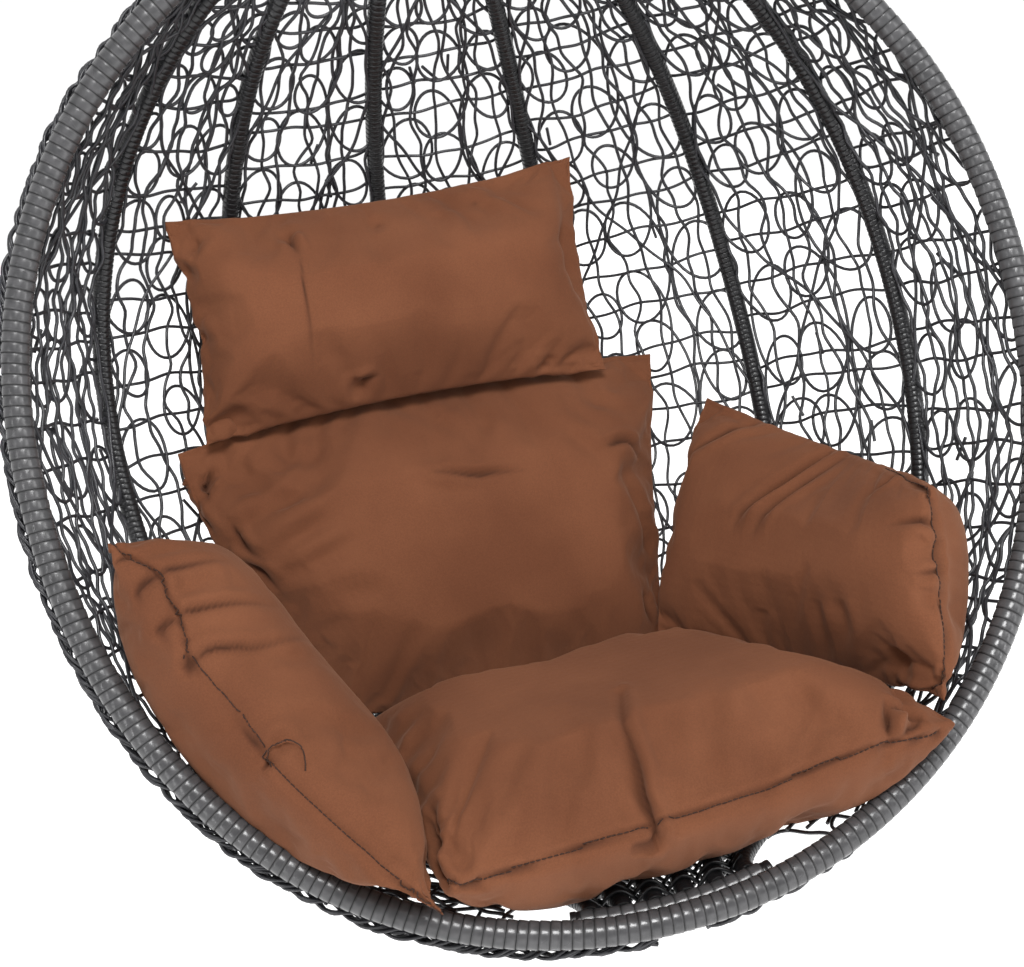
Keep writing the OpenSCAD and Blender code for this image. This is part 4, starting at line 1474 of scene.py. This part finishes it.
CUSHIONS = (
    CushionForm("headrest_cushion",
                ((-0.6751, 0.4231, 0.4825), (0.2694, 0.6677, 0.4626),
                 (0.2293, 0.6638, -0.0447), (-0.6936, 0.457, -0.0103)),
                thick=92, front=0.52, bend=(8, 0), draw=(0.058, 0.058, 0.1, 0.1), fall=(-0.22, 0),
                fill=0.8, reach=(4, 6, 7, 2)),
    CushionForm("back_cushion",
                ((-0.7536, 0.4821, -0.0372), (0.3563, 0.7985, -0.0592),
                 (0.2058, 0.6277, -0.6397), (-0.5158, 0.5258, -0.6278)),
                thick=96, front=0.63, bend=(20, 0), draw=(-0.1, 0.02, -0.165, -0.165), fall=(0, 0),
                fill=0.8, reach=(3, 9, 8, 8)),
    CushionForm("seat_cushion",
                ((-0.5004, 0.4452, -0.6615), (0.2531, 0.5582, -0.688),
                 (0.5788, -0.1457, -0.7849), (-0.3923, -0.2003, -0.82)),
                thick=132, front=0.48, bend=(8, 0), draw=(-0.03, -0.03, -0.15, 0), fall=(0.15, 0.335),
                full=(5, 0.5), fill=0.85, reach=(9, 0, 10, 4)),
    CushionForm("arm_cushion_left",
                ((-0.8596, -0.1035, -0.1434), (-0.7462, 0.2762, -0.2298),
                 (-0.55, 0.2284, -0.7096), (-0.4346, -0.241, -0.8364)),
                thick=144, front=0.55, bend=(0, 31), draw=(0.02, 0.02, 0.03, 0.03), fall=(0, -0.12),
                fill=0.75, reach=(9, 3, 8, 2)),
    CushionForm("arm_cushion_right",
                ((0.4519, 0.6291, -0.1801), (0.6731, -0.0694, -0.3824),
                 (0.5788, -0.1222, -0.7371), (0.2019, 0.5453, -0.6232)),
                thick=132, front=0.4, bend=(46, 0), draw=(-0.04, -0.04, 0, 0), fall=(-0.3, -0.3),
                fill=0.75, reach=(7, 9, 8, 6)),
)


@dataclass
class Studio:
    """The floor, the lights and the camera."""

    floor_z: float = -1.78
    focal_px: float = 1472.55
    image_width: int = 1024
    azimuth_deg: float = -5.976
    elevation_deg: float = 5.275
    roll_deg: float = -12.672
    distance: float = 1615.0
    target: tuple[float, float, float] = (-42.0, 100.0, -123.0)
    aim: tuple[float, float, float] = (0.0, 0.1, -0.8)
    lamps: tuple[tuple, ...] = (
        ("key", (0.0, -2.1, 1.0), (0.9, 0.9), 74.0), ("fill", (1.7, -2.2, 0.2), (1.0, 1.0), 13.0),
        ("left_strip", (-2.3, -1.9, -0.7), (0.12, 2.2), 16.0), ("right_strip", (2.2, -1.9, -0.7), (0.12, 2.2), 16.0),
    )

    def camera(self) -> None:
        """Sets up the camera as the photograph's, which was solved in the basket's own frame."""
        az, el, roll = (math.radians(a) for a in (self.azimuth_deg, self.elevation_deg, self.roll_deg))
        back = np.array([math.sin(az) * math.cos(el), -math.cos(az) * math.cos(el), math.sin(el)])
        right = np.array([math.cos(az), math.sin(az), 0.0])
        up = np.cross(back, right)
        eye = FORM.hung(np.array(self.target) + back * self.distance) * MM
        side = FORM.turned(math.cos(roll) * right + math.sin(roll) * up)
        top = FORM.turned(-math.sin(roll) * right + math.cos(roll) * up)
        behind = FORM.turned(back)
        data = bpy.data.cameras.new("camera")
        data.sensor_width = 36.0
        data.lens = self.focal_px * 36.0 / self.image_width
        data.clip_start = 0.05
        data.clip_end = 100.0
        camera = linked("camera", data)
        matrix = np.eye(4)
        matrix[:3, 0], matrix[:3, 1], matrix[:3, 2], matrix[:3, 3] = side, top, behind, eye
        camera.matrix_world = Matrix(matrix.tolist())
        bpy.context.scene.camera = camera

    def lamp(self, name: str, place: tuple[float, float, float], size: tuple[float, float], power: float) -> None:
        """Adds a soft lamp that faces the chair.

        Args:
            name: the lamp's name.
            place: where it stands.
            size: its width and height in metres.
            power: its power in watts.
        """
        data = bpy.data.lights.new(name, "AREA")
        data.shape = "RECTANGLE"
        data.size, data.size_y = size
        data.energy = power
        lamp = linked(name, data)
        lamp.location = place
        lamp.rotation_euler = (Vector(self.aim) - Vector(place)).to_track_quat("-Z", "Y").to_euler()

    def surroundings(self) -> None:
        """Makes the room white behind the chair and dim in front of it, as in a light tent."""
        world = bpy.data.worlds.new("studio")
        bpy.context.scene.world = world
        world.use_nodes = True
        tree = world.node_tree
        way = tree.nodes.new("ShaderNodeTexCoord").outputs["Generated"]
        split = tree.nodes.new("ShaderNodeSeparateXYZ")
        depth = tree.nodes.new("ShaderNodeMapRange")
        for name, number in (("From Min", -0.35), ("From Max", 0.45), ("To Min", 0.36), ("To Max", 1.02)):
            depth.inputs[name].default_value = number
        sky = tree.nodes["Background"]
        sky.inputs["Color"].default_value = (1.0, 1.0, 1.0, 1.0)
        tree.links.new(way, split.inputs[0])
        tree.links.new(split.outputs["Y"], depth.inputs["Value"])
        tree.links.new(depth.outputs["Result"], sky.inputs["Strength"])

    def build(self) -> None:
        """Builds the studio."""
        self.camera()
        clear_selection()
        bpy.ops.mesh.primitive_circle_add(vertices=96, radius=30.0, fill_type="NGON",
                                          location=(0.0, 0.0, self.floor_z))
        bpy.ops.object.transform_apply(location=True, rotation=True, scale=True)
        floor = bpy.context.object
        floor.name = "studio_floor"
        Finish.FLOOR.dress(floor)
        self.surroundings()
        for lamp in self.lamps:
            self.lamp(*lamp)
        bpy.context.scene.view_settings.view_transform = "Standard"


def main() -> None:
    """Builds the chair's looks in order and reports each piece."""
    logging.basicConfig(level=logging.INFO, format="%(name)s %(message)s")
    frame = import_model()
    Studio().build()
    HangerMetal().dress(frame["nodes"])
    BasketFrame().build()
    for i in range(FORM.last):
        CanePanel(i).build()
    for form in CUSHIONS:
        Cushion(form).build()


if __name__ == "__main__":
    main()
